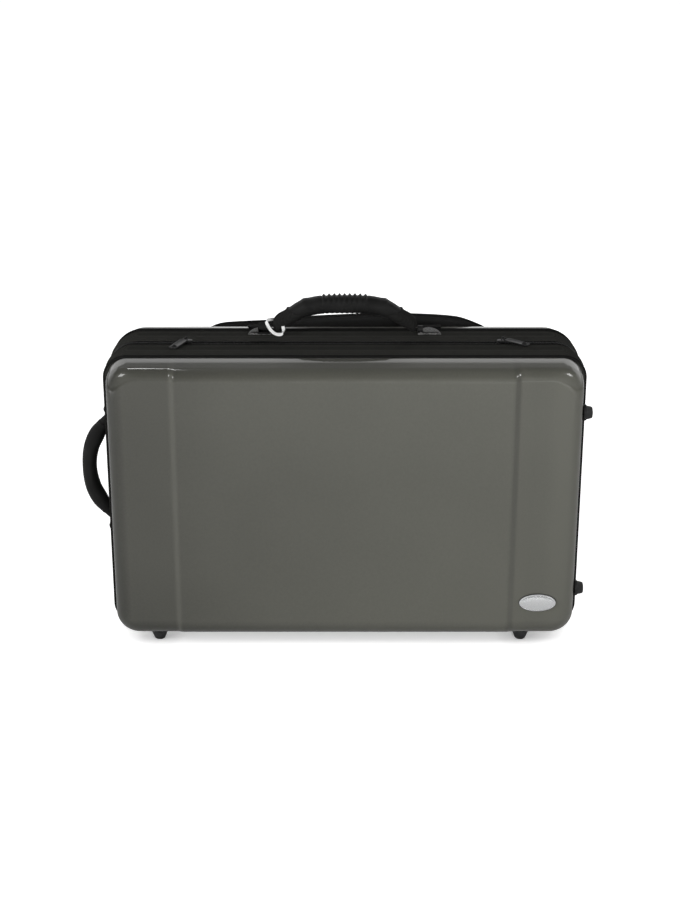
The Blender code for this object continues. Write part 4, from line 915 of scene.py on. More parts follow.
# %% Zip tapes and coils
ZIP_TAPE_INSET = 0.0028
ZIP_TAPE_THICKNESS = 0.0014
ZIP_TAPE_END = 0.030
ZIP_CLOSED_HALF_GAP = 0.0009
ZIP_OPEN_HALF_GAP = 0.0018
ZIP_PITCH = 0.0017
ZIP_TURN = (ZIP_PITCH * 0.62, 0.0025, 0.0013)
FOLD_RADIUS = 0.0013
FOLD_Y = 0.0084
SLIDER_HOME = 0.186
SLIDER_LENGTH = 0.014


def make_tape(half):
    """The woven tape: a thin ring that leaves out the hinge at the bottom."""
    under = ZIP_TAPE_INSET + ZIP_TAPE_THICKNESS
    tape = skin(band_rings(half, [
        (under, ZIP_TAPE_WIDTH), (ZIP_TAPE_INSET, ZIP_TAPE_WIDTH), (ZIP_TAPE_INSET - 0.0001, 0.0050),
        (ZIP_TAPE_INSET, 0.0022), (ZIP_TAPE_INSET + 0.0004, 0.0019), (under, 0.0019),
    ]), closed=True)
    cut(tape, (0, 0, ZIP_TAPE_END), (0, 0, -1), drop=True)
    bmesh.ops.holes_fill(tape, edges=[e for e in tape.edges if e.is_boundary], sides=0)
    piece(half + "_zip_cloth", tape, zip_cloth, BODY[half], (half + "_zip_tape",))


def make_coil(half):
    """Bars that mesh outside the sliders, and stand apart between them."""
    side = SIDE[half]
    corner = band_corner(0.0) - ZIP_TAPE_INSET
    turns = []
    for place in round_case(ZIP_TAPE_INSET - 0.0002, corner, 0.0, ZIP_PITCH, whole=False):
        spot = place.translation
        parted = spot.z > BAND_HEIGHT - 0.02 and abs(spot.x) < SLIDER_HOME - SLIDER_LENGTH / 2
        offset = (ZIP_OPEN_HALF_GAP if parted else ZIP_CLOSED_HALF_GAP * 0.4) + ZIP_TURN[1] / 2
        shift = 0.25 * side * ZIP_PITCH if not parted else 0.0
        turns.append(Matrix.Translation((0, side * offset, 0)) @ place @ Matrix.Translation((shift, 0, 0)))
    coil = repeat(bar(ZIP_TURN, 0.00036), turns)
    piece(half + "_zip_coil", coil, zip_nylon, BODY[half], smooth=0)


def make_fold(half):
    """The band's edge, folded to a small cord beside the tape."""
    profile = []
    for i in range(9):
        angle = math.pi * i / 8
        inset = BAND_CROWN + 0.0007 - FOLD_RADIUS * math.sin(angle)
        profile.append((inset, FOLD_Y - FOLD_RADIUS * math.cos(angle)))
    fold = skin(band_rings(half, profile), closed=True)
    piece(half + "_zip_fold", fold, band_cloth, BODY[half], smooth=60.0)


for half_name in HALVES:
    make_tape(half_name)
    make_coil(half_name)
    make_fold(half_name)
print("zip made")

# %% [markdown]
# ### Fabric hinge
# Along the bottom the two bands are joined by a strip of webbing instead of the zip. Each half has
# its own ply with two rows of stitches, so that the lid can turn.

# %% Hinge plies
HINGE_END = 0.232
HINGE_PLY = 0.0030
HINGE_SINK = 0.0009
HINGE_STITCH = 0.003
HINGE_STITCH_PITCH = 0.0042


def make_hinge(half):
    width = ZIP_TAPE_WIDTH - 2 * GAP
    y = SIDE[half] * (GAP / 2 + width / 2)
    z = HINGE_SINK + HINGE_PLY / 2
    points = [Vector((-HINGE_END + 2 * HINGE_END * i / 24, y, z)) for i in range(25)]
    ply = draw(places_along(points, (0, 0, -1)), width / 2, HINGE_PLY / 2, HINGE_PLY * 0.3)
    rows = []
    count = int(2 * HINGE_END / HINGE_STITCH_PITCH)
    for row in (-0.3, 0.3):
        for i in range(count):
            x = -HINGE_END + 2 * HINGE_END * (i + 0.5) / count
            rows.append(Matrix.Translation((x, y + row * width, z - HINGE_PLY / 2)))
    piece(half + "_hinge_ply", ply, webbing, BODY[half], (half + "_hinge_leaf",))
    piece(half + "_hinge_stitches", repeat(stitch(HINGE_STITCH), rows), thread, BODY[half], smooth=0)


for half_name in HALVES:
    make_hinge(half_name)
print("hinge made")


# %% [markdown]
# ### Sliders and pulls
# Cast zinc, painted black. A slider is two plates, narrower at one end, with a neck between them
# and an arched lug on top. The pull is a flat tongue with a round hole and a raised border.

# %% Plates and holes
ZIP_COIL_INSET = 0.0009
SLIDER_WIDTH = 0.0096
SLIDER_PLATE = 0.0016
SLIDER_NARROW = 0.72
SLIDER_TOP_Z = BAND_HEIGHT - ZIP_COIL_INSET + GAP + SLIDER_PLATE
LUG_HALF = 0.0022
LUG_HEIGHT = 0.0042
LUG_HOLE_Z = SLIDER_TOP_Z + 0.0021
PULL_LENGTH = 0.034
PULL_ROOT = 0.0045
PULL_WIDTH = 0.0104
PULL_THICKNESS = 0.0015
PULL_NARROW = 0.94
PULL_EYE = 0.0022
PULL_TURN = {"left": math.radians(205.0), "right": math.radians(124.0)}
PULL_DROOP = math.radians(3.0)


def round_off(bm, edges, offset, segments):
    bmesh.ops.bevel(
        bm, geom=edges, offset=offset, affect="EDGES", segments=segments, profile=0.5, material=-1)


def tapered_plate(length, width, thickness, narrow):
    """A flat plate along Y whose far end is narrower, with its long edges rounded."""
    bm = bar((width, length, thickness))
    for vert in bm.verts:
        if vert.co.y > 0:
            vert.co.x *= narrow
    upright = [edge for edge in bm.edges if abs(edge.verts[0].co.z - edge.verts[1].co.z) > thickness / 2]
    round_off(bm, upright, width * 0.24, 5)
    flat = [face for face in bm.faces if abs(face.normal.z) > 0.9]
    round_off(bm, list({edge for face in flat for edge in face.edges}), thickness * 0.22, 2)
    return bm


def punched(bm, spot, radius):
    """The same solid with a round hole through it along Z."""
    cutter = bmesh.new()
    bmesh.ops.create_cone(cutter, cap_ends=True, segments=24, radius1=radius, radius2=radius, depth=0.02)
    bmesh.ops.translate(cutter, verts=cutter.verts, vec=spot)
    made = []
    for source in (bm, cutter):
        mesh = bpy.data.meshes.new("punch")
        source.to_mesh(mesh)
        source.free()
        made.append(bpy.data.objects.new("punch", mesh))
        bpy.context.scene.collection.objects.link(made[-1])
    hole = made[0].modifiers.new("hole", "BOOLEAN")
    hole.operation = "DIFFERENCE"
    hole.object = made[1]
    apply_modifiers(made[0])
    result = bmesh.new()
    result.from_mesh(made[0].data)
    for thing in made:
        bpy.data.objects.remove(thing)
    result.normal_update()
    return result


# %% [markdown]
# The lug is a small arch on the slider, and the pull's bail goes round it, so one angle turns both.
# In the photograph both pulls lie almost flat: one points forwards and a little to the left, the
# other forwards and to the right.


# %% Sliders and pulls
def pull_ways(name):
    """The direction in which a pull points, and the axis on which it turns."""
    turn = PULL_TURN[name]
    return Vector((math.sin(turn), math.cos(turn), 0.0)), Vector((math.cos(turn), -math.sin(turn), 0.0))


def make_slider(name, sign):
    under_z = BAND_HEIGHT - ZIP_TAPE_INSET - ZIP_TAPE_THICKNESS - GAP - SLIDER_PLATE / 2
    plates = []
    for z in (SLIDER_TOP_Z - SLIDER_PLATE / 2, under_z):
        plate = tapered_plate(SLIDER_LENGTH, SLIDER_WIDTH, SLIDER_PLATE, SLIDER_NARROW)
        place = Matrix.Translation((0, 0, z)) @ Matrix.Rotation(sign * math.pi / 2, 4, "Z")
        bmesh.ops.transform(plate, matrix=place, verts=plate.verts)
        plates.append(plate)
    neck = bar((0.006, 0.001, SLIDER_TOP_Z - under_z))
    bmesh.ops.translate(neck, verts=neck.verts, vec=(0, 0, (SLIDER_TOP_Z + under_z) / 2))
    way, axis = pull_ways(name)
    arch = []
    for i in range(11):
        angle = math.pi * i / 10
        level = SLIDER_TOP_Z - 0.0003 + LUG_HEIGHT * math.sin(angle)
        arch.append(way * (LUG_HALF * math.cos(angle)) + Vector((0, 0, level)))
    lug = draw(places_along(arch, axis), 0.0005, 0.0008, 0.0003)
    whole = gather(*plates, neck, lug)
    bmesh.ops.translate(whole, verts=whole.verts, vec=(sign * SLIDER_HOME, 0, 0))
    piece(
        "slider_body_" + name, whole, black_zinc, "slider_" + name, ("zip_slider_" + name,))


def make_pull(name, sign):
    way, axis = pull_ways(name)
    run = (way - Vector((0, 0, math.tan(PULL_DROOP)))).normalized()
    normal = axis.cross(run)
    across = axis if normal.z > 0 else -axis
    if normal.z < 0:
        normal = -normal
    length = PULL_LENGTH - PULL_ROOT
    tongue = tapered_plate(length, PULL_WIDTH, PULL_THICKNESS, PULL_NARROW)
    bmesh.ops.translate(tongue, verts=tongue.verts, vec=(0, length / 2 + PULL_ROOT, 0))
    eye_y = PULL_LENGTH - 0.0056
    tongue = punched(tongue, Vector((0, eye_y, 0)), PULL_EYE)
    for face in [f for f in tongue.faces if f.normal.z > 0.9 and f.calc_area() > 1e-5]:
        bmesh.ops.inset_region(tongue, faces=[face], thickness=0.0010, depth=-0.00025)
    bail = tube([Vector((x, 0.0018 + y, 0)) for x, y in ellipse(0.0024, 0.0034, 20)], 0.0007, closed=True)
    border = [Vector((x, eye_y + y, 0.0007)) for x, y in ellipse(0.0026, 0.0026, 24)]
    whole = gather(tongue, bail, tube(border, 0.00045, closed=True))
    spot = Matrix.Translation((sign * SLIDER_HOME, 0, LUG_HOLE_Z))
    bmesh.ops.transform(whole, matrix=spot @ axes(across, run, normal), verts=whole.verts)
    piece("pull_tongue_" + name, whole, black_zinc, "pull_" + name, ("zip_pull_" + name,))


for side_name, side_sign in ENDS:
    make_slider(side_name, side_sign)
    make_pull(side_name, side_sign)
print("sliders and pulls made")


# %% [markdown]
# ## Handles
# The moulded grips are an oval that swells and turns along a curve. The curve goes through a few
# stations, each with its height over the band, half thickness and half width, as in the CAD part.

# %% The handles' curve
HANDLE_Y = 0.029
TOP_STATIONS = (
    (0.000, 0.0364, 0.0104, 0.0130), (0.030, 0.0352, 0.0102, 0.0130), (0.050, 0.0300, 0.0098, 0.0124),
    (0.066, 0.0210, 0.0082, 0.0100), (0.0765, 0.0140, 0.0082, 0.0062), (0.0822, 0.0054, 0.0040, 0.0038),
)
SIDE_STATIONS = (
    (0.000, 0.0316, 0.0086, 0.0110), (0.025, 0.0284, 0.0094, 0.0105), (0.043, 0.0205, 0.0098, 0.0085),
    (0.057, 0.0115, 0.0068, 0.0060), (0.0675, 0.0050, 0.0038, 0.0038),
)
SIDE_HANDLE_Y = 0.027
SIDE_HANDLE_Z = 0.1735
TOP_BASE = (Vector((0.0, HANDLE_Y, BAND_HEIGHT)), Vector((1, 0, 0)), Vector((0, 0, 1)))
SIDE_BASE = (Vector((-HALF_WIDTH, SIDE_HANDLE_Y, SIDE_HANDLE_Z)), Vector((0, 0, 1)), Vector((-1, 0, 0)))
PIN_HEIGHT = 0.0050
TOP_GRIP_HALF = 0.065
RIB_PITCH = 0.0060
RIB_COUNT = 9


def eased(stations, s):
    """Height, half thickness and half width at a station, on a smooth curve through them."""
    s = abs(s)
    rows = [(-stations[1][0], *stations[1][1:])] + list(stations)
    rows.append(tuple(2 * a - b for a, b in zip(stations[-1], stations[-2])))
    i = max(k for k in range(1, len(rows) - 2) if rows[k][0] <= s or k == 1)
    p0, p1, p2, p3 = rows[i - 1:i + 3]
    t = min(1.0, (s - p1[0]) / (p2[0] - p1[0]))
    values = []
    for k in (1, 2, 3):
        slope1 = (p2[k] - p0[k]) / (p2[0] - p0[0]) * (p2[0] - p1[0])
        slope2 = (p3[k] - p1[k]) / (p3[0] - p1[0]) * (p2[0] - p1[0])
        values.append(
            (2 * t**3 - 3 * t**2 + 1) * p1[k] + (t**3 - 2 * t**2 + t) * slope1
            + (3 * t**2 - 2 * t**3) * p2[k] + (t**3 - t**2) * slope2)
    return values


def handle_place(stations, s, base, lift=0.0, grow=0.0, sideways=0.0):
    """A matrix at a station: X across the handle, Y along it, Z away from the band. It scales a
    section of half size 1 to the handle's oval there."""
    origin, along, up = base
    height, thick, width = eased(stations, s)
    step = 0.0005
    rise = (eased(stations, abs(s) + step)[0] - eased(stations, abs(abs(s) - step))[0]) / (2 * step)
    rise = 0.0 if abs(s) < step else math.copysign(rise, s) if rise >= 0 else -math.copysign(-rise, s)
    tangent = (along + up * rise).normalized()
    across = tangent.cross(up).normalized()
    normal = across.cross(tangent).normalized()
    centre = origin + along * s + up * height + normal * lift
    size = Matrix.Diagonal((width + grow + sideways, 1.0, thick + grow, 1.0))
    return Matrix.Translation(centre) @ axes(across, tangent, normal) @ size


def even(grow, sideways=0.0):
    """The same change of a handle's size at every station."""
    return lambda s: (0.0, grow, sideways)


def handle_run(stations, base, start, end, count, change=even(0.0)):
    """Places along a handle; change gives lift, growth and sideways growth at each station."""
    places = []
    for i in range(count + 1):
        s = start + (end - start) * i / count
        places.append(handle_place(stations, s, base, *change(s)))
    return places


def oval(places, steps=8, squareness=0.999):
    return draw(places, 1.0, 1.0, squareness, steps)


def pin(start, end, radius):
    return tube([Vector(start).lerp(Vector(end), i / 3) for i in range(4)], radius, (0, 1, 0), steps=4)


# %% [markdown]
# The top grip has nine fine ribs where the fingers close, a smooth flat part on each side of them
# and a rounded shoulder before each textile end.

# %% Top grip
RIB_HEIGHT = 0.0026
SHOULDER = 0.0455
CORE_THINNER = 0.0045


def grip_change(s):
    ribbed = RIB_COUNT * RIB_PITCH / 2
    lift = grow = sideways = 0.0
    if abs(s) < ribbed:
        rib = RIB_HEIGHT * (0.5 + 0.5 * math.cos(2 * math.pi * s / RIB_PITCH)) ** 1.5 - 0.0008
        lift, grow, sideways = rib * 0.6, rib * 0.4, rib * -0.4
    shoulder = math.exp(-((abs(s) - SHOULDER) / 0.0035) ** 2)
    return lift + 0.0009 * shoulder, grow + 0.0004 * shoulder, sideways


grip = oval(handle_run(TOP_STATIONS, TOP_BASE, -TOP_GRIP_HALF, TOP_GRIP_HALF, 200, grip_change), 8, 0.86)
piece("top_grip", grip, moulded_rubber, "top_handle", ("handle_grip",), 60.0)
core = oval(handle_run(TOP_STATIONS, TOP_BASE, -TOP_GRIP_HALF, TOP_GRIP_HALF, 20, even(-CORE_THINNER)), 4)
piece("top_grip_core", core, webbing, "top_handle", ("handle_core",))
print("ribs:", RIB_COUNT)

# %% [markdown]
# The textile ends are sleeves that overlap the grip's shoulders with a slanted edge, and one seam
# runs along each. The pin on which the handle turns is drawn inside them.

# %% Ends of the top handle
WRAP_END = TOP_STATIONS[-1][0]
WRAP_START = TOP_GRIP_HALF + GAP
PLATE_INNER = 0.0868
KNUCKLE_LENGTH = 0.0060
PIN_RADIUS = 0.0015
PIN_ROOT = 0.003
SLEEVE_START = 0.0565
SLEEVE_SLANT = 0.0085
SLANTED = 12

for side_name, side_sign in ENDS:
    run = handle_run(
        TOP_STATIONS, TOP_BASE, side_sign * SLEEVE_START, side_sign * WRAP_END, 36, even(0.0007, 0.0002))
    for i in range(SLANTED + 1):
        shear = Matrix.Identity(4)
        shear[1][2] = side_sign * SLEEVE_SLANT * (1 - i / SLANTED)
        run[i] = run[i] @ shear
    wrap = oval(run, 8, 0.9)
    axis_point = TOP_BASE[0] + Vector((0, 0, PIN_HEIGHT))
    reach = PLATE_INNER + KNUCKLE_LENGTH - 3 * GAP
    root = axis_point + Vector((side_sign * (WRAP_END - PIN_ROOT), 0, 0))
    wrap_pin = pin(root, axis_point + Vector((side_sign * reach, 0, 0)), PIN_RADIUS)
    seam_end = side_sign * (WRAP_END - PIN_ROOT)
    seam_run = handle_run(TOP_STATIONS, TOP_BASE, side_sign * WRAP_START, seam_end, 12)
    seam = tube([place @ Vector((-0.93, 0, 0.35)) for place in seam_run], 0.0005, (0, 0, 1))
    piece("top_wrap_" + side_name, gather(wrap, wrap_pin), webbing, "top_handle",
          ("handle_wrap_" + side_name,), 60.0)
    piece("top_wrap_seam_" + side_name, seam, thread, "top_handle")
print("ends of the top handle made")

# %% [markdown]
# The plates that hold the handle to the case are half-moons of dark textured plastic; their pale
# speckles are painted glints. Each is made from one flat face that is inset and lifted a few times
# into a low dome.

# %% Anchor plates
PLATE_RADIUS = 0.0138
PLATE_DEPTH = 0.026
PLATE_FRONT = 0.022
PLATE_HEIGHT = 0.0030
KNUCKLE_RADIUS = 0.0044
PLATE_LIP = 0.15
PLATE_DOME = ((0.0010, 0.25), (0.0015, 0.24), (0.0018, 0.18), (0.0018, 0.10))

for side_name, side_sign in ENDS:
    plate = bmesh.new()
    bmesh.ops.create_circle(plate, cap_ends=True, segments=64, radius=1.0)
    cut(plate, (0, 0, 0), (0, -1, 0), drop=True)
    bmesh.ops.scale(plate, vec=(PLATE_RADIUS, PLATE_DEPTH, 1.0), verts=plate.verts)
    plate_x = side_sign * (PLATE_INNER + PLATE_RADIUS)
    bmesh.ops.translate(plate, verts=plate.verts, vec=(plate_x, PLATE_FRONT, BAND_HEIGHT + GAP))
    plate.faces.ensure_lookup_table()
    grown = bmesh.ops.extrude_face_region(plate, geom=[plate.faces[0]])["geom"]
    bmesh.ops.translate(plate, verts=only("Vert", grown), vec=(0, 0, PLATE_HEIGHT * PLATE_LIP))
    bmesh.ops.recalc_face_normals(plate, faces=plate.faces)
    for width, rise in PLATE_DOME:
        bmesh.ops.inset_region(plate, faces=only("Face", grown), thickness=width, depth=PLATE_HEIGHT * rise)
    knuckle_start = Vector((side_sign * PLATE_INNER, HANDLE_Y, BAND_HEIGHT + PIN_HEIGHT))
    knuckle_end = knuckle_start + Vector((side_sign * KNUCKLE_LENGTH, 0, 0))
    knuckle = pin(knuckle_start, knuckle_end, KNUCKLE_RADIUS)
    piece("anchor_plate_" + side_name, plate, dark_plate_painted_glints, "case",
          ("handle_anchor_plate_" + side_name,))
    piece("pin_holder_" + side_name, knuckle, black_zinc, "case", smooth=50.0)
print("anchor plates made")

# %% [markdown]
# A white nylon tie is looped round the left end of the handle, as shops leave it. It is a flat strip
# that hangs slack and rests on the band in front. It is tied to no body, so it stays where it is
# drawn when the handle turns.

# %% Tag loop
TAG_ROUTE = (
    (-0.0900, 0.0300, 0.3605), (-0.0927, 0.0250, 0.3600), (-0.0908, 0.0215, 0.3558),
    (-0.0872, 0.0198, 0.3506), (-0.0830, 0.0190, 0.3470), (-0.0780, 0.0186, 0.3456),
    (-0.0738, 0.0190, 0.3468), (-0.0725, 0.0206, 0.3515), (-0.0738, 0.0250, 0.3560),
    (-0.0755, 0.0300, 0.3580), (-0.0785, 0.0362, 0.3570), (-0.0838, 0.0372, 0.3585),
)
TAG_WIDTH = 0.0038
TAG_STEPS = 4


def between(a, b, c, d, t):
    """A share t of the way from b to c, on a smooth curve through all four."""
    return b + 0.5 * t * (c - a + t * (2 * a - 5 * b + 4 * c - d + t * (3 * b - a - 3 * c + d)))


tag_points = []
for i in range(len(TAG_ROUTE) * TAG_STEPS):
    row, t = i // TAG_STEPS, (i % TAG_STEPS) / TAG_STEPS
    around = [Vector(TAG_ROUTE[(row + k) % len(TAG_ROUTE)]) for k in (-1, 0, 1, 2)]
    tag_points.append(between(*around, t))
tag = draw(places_along(tag_points, (0.35, 0.55, 0.75), True), 0.00035, TAG_WIDTH / 2, 0.0003, 3, True)
tag_tie = piece("tag_tie", tag, white_nylon, None, ("tag_loop",))
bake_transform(tag_tie)
print("tag loop points:", len(tag_points))

# %% [markdown]
# The side handle is a smooth crescent. Its ends turn in two moulded tabs, each one section that
# changes in height and width along a few shares of its length.

# %% Side handle
SIDE_GRIP_HALF = SIDE_STATIONS[3][0]
SIDE_END = SIDE_STATIONS[-1][0]
SIDE_CORE_THINNER = 0.0042
COLLAR = 0.0004
TAB_START = 0.0716
TAB_LENGTH = 0.024
TAB_HALF_WIDTH = 0.012
TAB_HEIGHT = 0.0105
TAB_STEPS = 16
TAB_SHARES = ((0.0, 0.86, 0.66), (0.2, 1.0, 0.78), (0.5, 0.8, 0.95), (0.85, 0.36, 0.9), (1.0, 0.16, 0.6))


def side_run(start, end, count, change=even(0.0)):
    return handle_run(SIDE_STATIONS, SIDE_BASE, start, end, count, change)


def side_change(s):
    collar = COLLAR * math.exp(-((abs(s) - SIDE_GRIP_HALF) / 0.002) ** 2)
    return 0.0, collar, collar


def make_tab(sign):
    origin, along, up = SIDE_BASE
    places = []
    for i in range(TAB_STEPS + 1):
        t = i / TAB_STEPS
        k = max(j for j in range(len(TAB_SHARES) - 1) if TAB_SHARES[j][0] <= t)
        low, high = TAB_SHARES[k], TAB_SHARES[k + 1]
        mix = (t - low[0]) / (high[0] - low[0])
        mix = mix * mix * (3 - 2 * mix)
        tall = TAB_HEIGHT * (low[1] + (high[1] - low[1]) * mix)
        wide = TAB_HALF_WIDTH * (low[2] + (high[2] - low[2]) * mix)
        spot = origin + along * sign * (TAB_START + TAB_LENGTH * t) + up * (GAP + tall / 2)
        turn = axes(Vector((0, 1, 0)), along * sign, up)
        places.append(Matrix.Translation(spot) @ turn @ Matrix.Diagonal((wide, 1.0, tall / 2, 1.0)))
    return draw(places, 1.0, 1.0, 0.55, 6)


side_grip = oval(side_run(-SIDE_GRIP_HALF, SIDE_GRIP_HALF, 90, side_change), 8, 0.9)
piece("side_grip", side_grip, moulded_rubber, "side_handle", ("side_handle_grip",), 60.0)
side_core = oval(side_run(-SIDE_GRIP_HALF, SIDE_GRIP_HALF, 20, even(-SIDE_CORE_THINNER)), 4)
piece("side_grip_core", side_core, webbing, "side_handle", ("side_handle_core",))
for side_name, side_sign in (("bottom", -1), ("top", 1)):
    end_run = side_run(side_sign * (SIDE_GRIP_HALF + GAP), side_sign * SIDE_END, 20)
    axis_point = SIDE_BASE[0] + SIDE_BASE[2] * PIN_HEIGHT
    outwards = SIDE_BASE[1] * side_sign
    end_pin = pin(
        axis_point + outwards * (SIDE_END - PIN_ROOT),
        axis_point + outwards * (TAB_START + KNUCKLE_LENGTH), PIN_RADIUS)
    piece("side_end_" + side_name, gather(oval(end_run), end_pin), moulded_rubber, "side_handle",
          ("side_handle_end_" + side_name,), 60.0)
    piece("side_tab_" + side_name, make_tab(side_sign), moulded_rubber, "case",
          ("side_handle_tab_" + side_name,), 50.0)
print("handles made")

# %% [markdown]
# ## Feet
# Rubber bumpers, turned on a lathe in effect: half of the profile is a row of points, and Spin
# carries it round. The tip has a small dish, where the real foot hides its screw.

# %% Feet
BOTTOM_FOOT_X = (-0.2235, 0.2125)
BOTTOM_REACH = 0.0115
END_FOOT_Z = (0.0555, 0.280)
END_REACH = 0.0056
FOOT_FROM_RIM = {"front": 0.013, "rear": 0.0082}
FOOT_SIZES = {
    ("front", "bottom"): (0.0124, 0.0058), ("front", "end"): (0.0094, 0.0062),
    ("rear", "bottom"): (0.0075, 0.0055), ("rear", "end"): (0.0075, 0.0055),
}


def turned_foot(base, tip, height):
    """A foot with its stud, from the base's and the tip's radius and the height over the seat."""
    profile = (
        (0.0, height - 0.0012), (tip * 0.34, height - 0.0012), (tip * 0.48, height - 0.0001),
        (tip * 0.8, height), (tip, height - 0.0003), (tip + 0.0007, height - 0.0012),
        (base - 0.0012, 0.0030), (base, 0.0022), (base, 0.0008), (base - 0.0004, -0.0006),
        (0.0031, -0.0006), (0.0031, -0.0040), (0.0, -0.0040),
    )
    bm = bmesh.new()
    verts = [bm.verts.new((radius, 0.0, level)) for radius, level in profile]
    edges = [bm.edges.new(pair) for pair in zip(verts, verts[1:])]
    bmesh.ops.spin(
        bm, geom=verts + edges, cent=(0, 0, 0), axis=(0, 0, 1), angle=2 * math.pi, steps=40, use_merge=True,
        use_duplicate=False)
    return bm


def make_feet(half):
    from_rim = FOOT_FROM_RIM[half]
    y = SIDE[half] * (RIM[half] + from_rim)
    inset = wall_inset(from_rim)
    feet = []
    for label, x in zip(("foot_left", "foot_right"), BOTTOM_FOOT_X):
        feet.append((label, Vector((x, y, inset)), Vector((0, 0, -1)), "bottom", inset + BOTTOM_REACH))
    for label, z in zip(("end_foot_lower", "end_foot_upper"), END_FOOT_Z):
        seat = Vector((HALF_WIDTH - inset, y, z))
        feet.append((label, seat, Vector((1, 0, 0)), "end", inset + END_REACH))
    for label, seat, out, kind, height in feet:
        foot = turned_foot(*FOOT_SIZES[half, kind], height)
        place = Matrix.Translation(seat) @ out.to_track_quat("Z", "Y").to_matrix().to_4x4()
        bmesh.ops.transform(foot, matrix=place, verts=foot.verts)
        piece(
            f"{half}_bumper_{label}", foot, foot_rubber, BODY[half], (f"{half}_{label}",),
            45.0)
    return len(feet)


for half_name in HALVES:
    print(half_name, "feet:", make_feet(half_name))

# %% [markdown]
# ## Badge
# A bare oval plate of satin chrome. It starts as a row of circles, each scaled to an oval. They step
# inwards over the plate's rounded rim, a fine groove and the low dome inside, and are bridged, and
# the first and the last one are filled. A dark ring round the plate is painted shade: it stands for
# the shadow in the gap round the plate.

# %% Badge
BADGE_X = 0.229
BADGE_Z = 0.048
BADGE_WIDTH = 0.0435
BADGE_HEIGHT = 0.022
BADGE_POINTS = 96
BADGE_STEPS = (
    (0.0, 0.0), (0.0, 0.0010), (0.0003, 0.0014), (0.0008, 0.0015), (0.0012, 0.0012), (0.0016, 0.0011),
    (0.0022, 0.0015), (0.0034, 0.0020), (0.0050, 0.0024), (0.0070, 0.0027), (0.0095, 0.00285),
)
BADGE_SHADE_RING_OUTSET = 0.0002


badge = bmesh.new()
badge_loops = []
for inwards, rise in BADGE_STEPS:
    ring = bmesh.ops.create_circle(badge, cap_ends=False, segments=BADGE_POINTS, radius=1.0)["verts"]
    size = (BADGE_WIDTH / 2 - inwards, BADGE_HEIGHT / 2 - inwards, 1.0)
    bmesh.ops.scale(badge, vec=size, verts=ring)
    bmesh.ops.rotate(badge, cent=(0, 0, 0), matrix=Matrix.Rotation(math.pi / 2, 3, "X"), verts=ring)
    bmesh.ops.translate(badge, verts=ring, vec=(BADGE_X, FRONT_FACE_Y - GAP - rise, BADGE_Z))
    badge_loops.append(list({edge for vert in ring for edge in vert.link_edges}))
bridge(badge, badge_loops)
bmesh.ops.holes_fill(badge, edges=badge_loops[0], sides=0)
bmesh.ops.holes_fill(badge, edges=badge_loops[-1], sides=0)
piece("bare_badge", badge, satin_chrome, "lid", ("badge",), 40.0)
# Painted shade: a dark ring where the gap round the plate lies in shadow.
shade_ring_oval = ellipse(BADGE_WIDTH / 2 + BADGE_SHADE_RING_OUTSET, BADGE_HEIGHT / 2 + BADGE_SHADE_RING_OUTSET, BADGE_POINTS)
shade_ring_points = [Vector((BADGE_X + x, FRONT_FACE_Y - GAP, BADGE_Z + z)) for x, z in shade_ring_oval]
piece("badge_shade_ring", tube(shade_ring_points, 0.0006, (0, 1, 0), True), buckle_plastic, "lid", smooth=60.0)
print("badge loops:", len(badge_loops))


# %% [markdown]
# ## Harness
# A padded yoke and two shoulder straps lie flat on the rear shell. Foam pads round off by
# themselves, so each one is remeshed into small even faces, smoothed, and pressed flat at its back
# again; a cord is sewn round its edge afterwards, because remeshing would lose it.

# %% Padded pieces of the harness
HARNESS_Y = REAR_PANEL_Y + 0.0024
YOKE_TOP = (
    (-0.170, 0.326), (-0.151, 0.3348), (-0.119, 0.3375), (-0.091, 0.339), (-0.040, 0.344), (0.040, 0.3475),
    (0.092, 0.3467), (0.127, 0.3445), (0.146, 0.3408), (0.172, 0.330),
)
YOKE_BOTTOM = 0.276
YOKE_THICKNESS = 0.014
STRAP_X = 0.098
STRAP_WIDTH = 0.066
STRAP_THICKNESS = 0.011
STRAP_BOTTOM = 0.118
LOCK_WIDTH = 0.034
STRAP_TAPER = 0.04
VOXEL = 0.0028
PAD_BORDER = 0.011
YOKE_CROWN = 0.005
STRAP_CROWN = 0.004
PIPING_RADIUS = 0.0019
PAD_STITCH = 0.0028
PAD_STITCH_PITCH = 0.0042
PAD_STITCH_INSET = 0.004
PAD_STITCH_LIFT = 0.0022


def smooth_through(points, steps):
    """More points on a smooth curve through the given ones."""
    ends = [points[0]] + list(points) + [points[-1]]
    curve = []
    for i in range(1, len(ends) - 2):
        for step in range(steps):
            around = zip(*ends[i - 1:i + 3])
            curve.append(tuple(between(*values, step / steps) for values in around))
    return curve + [points[-1]]


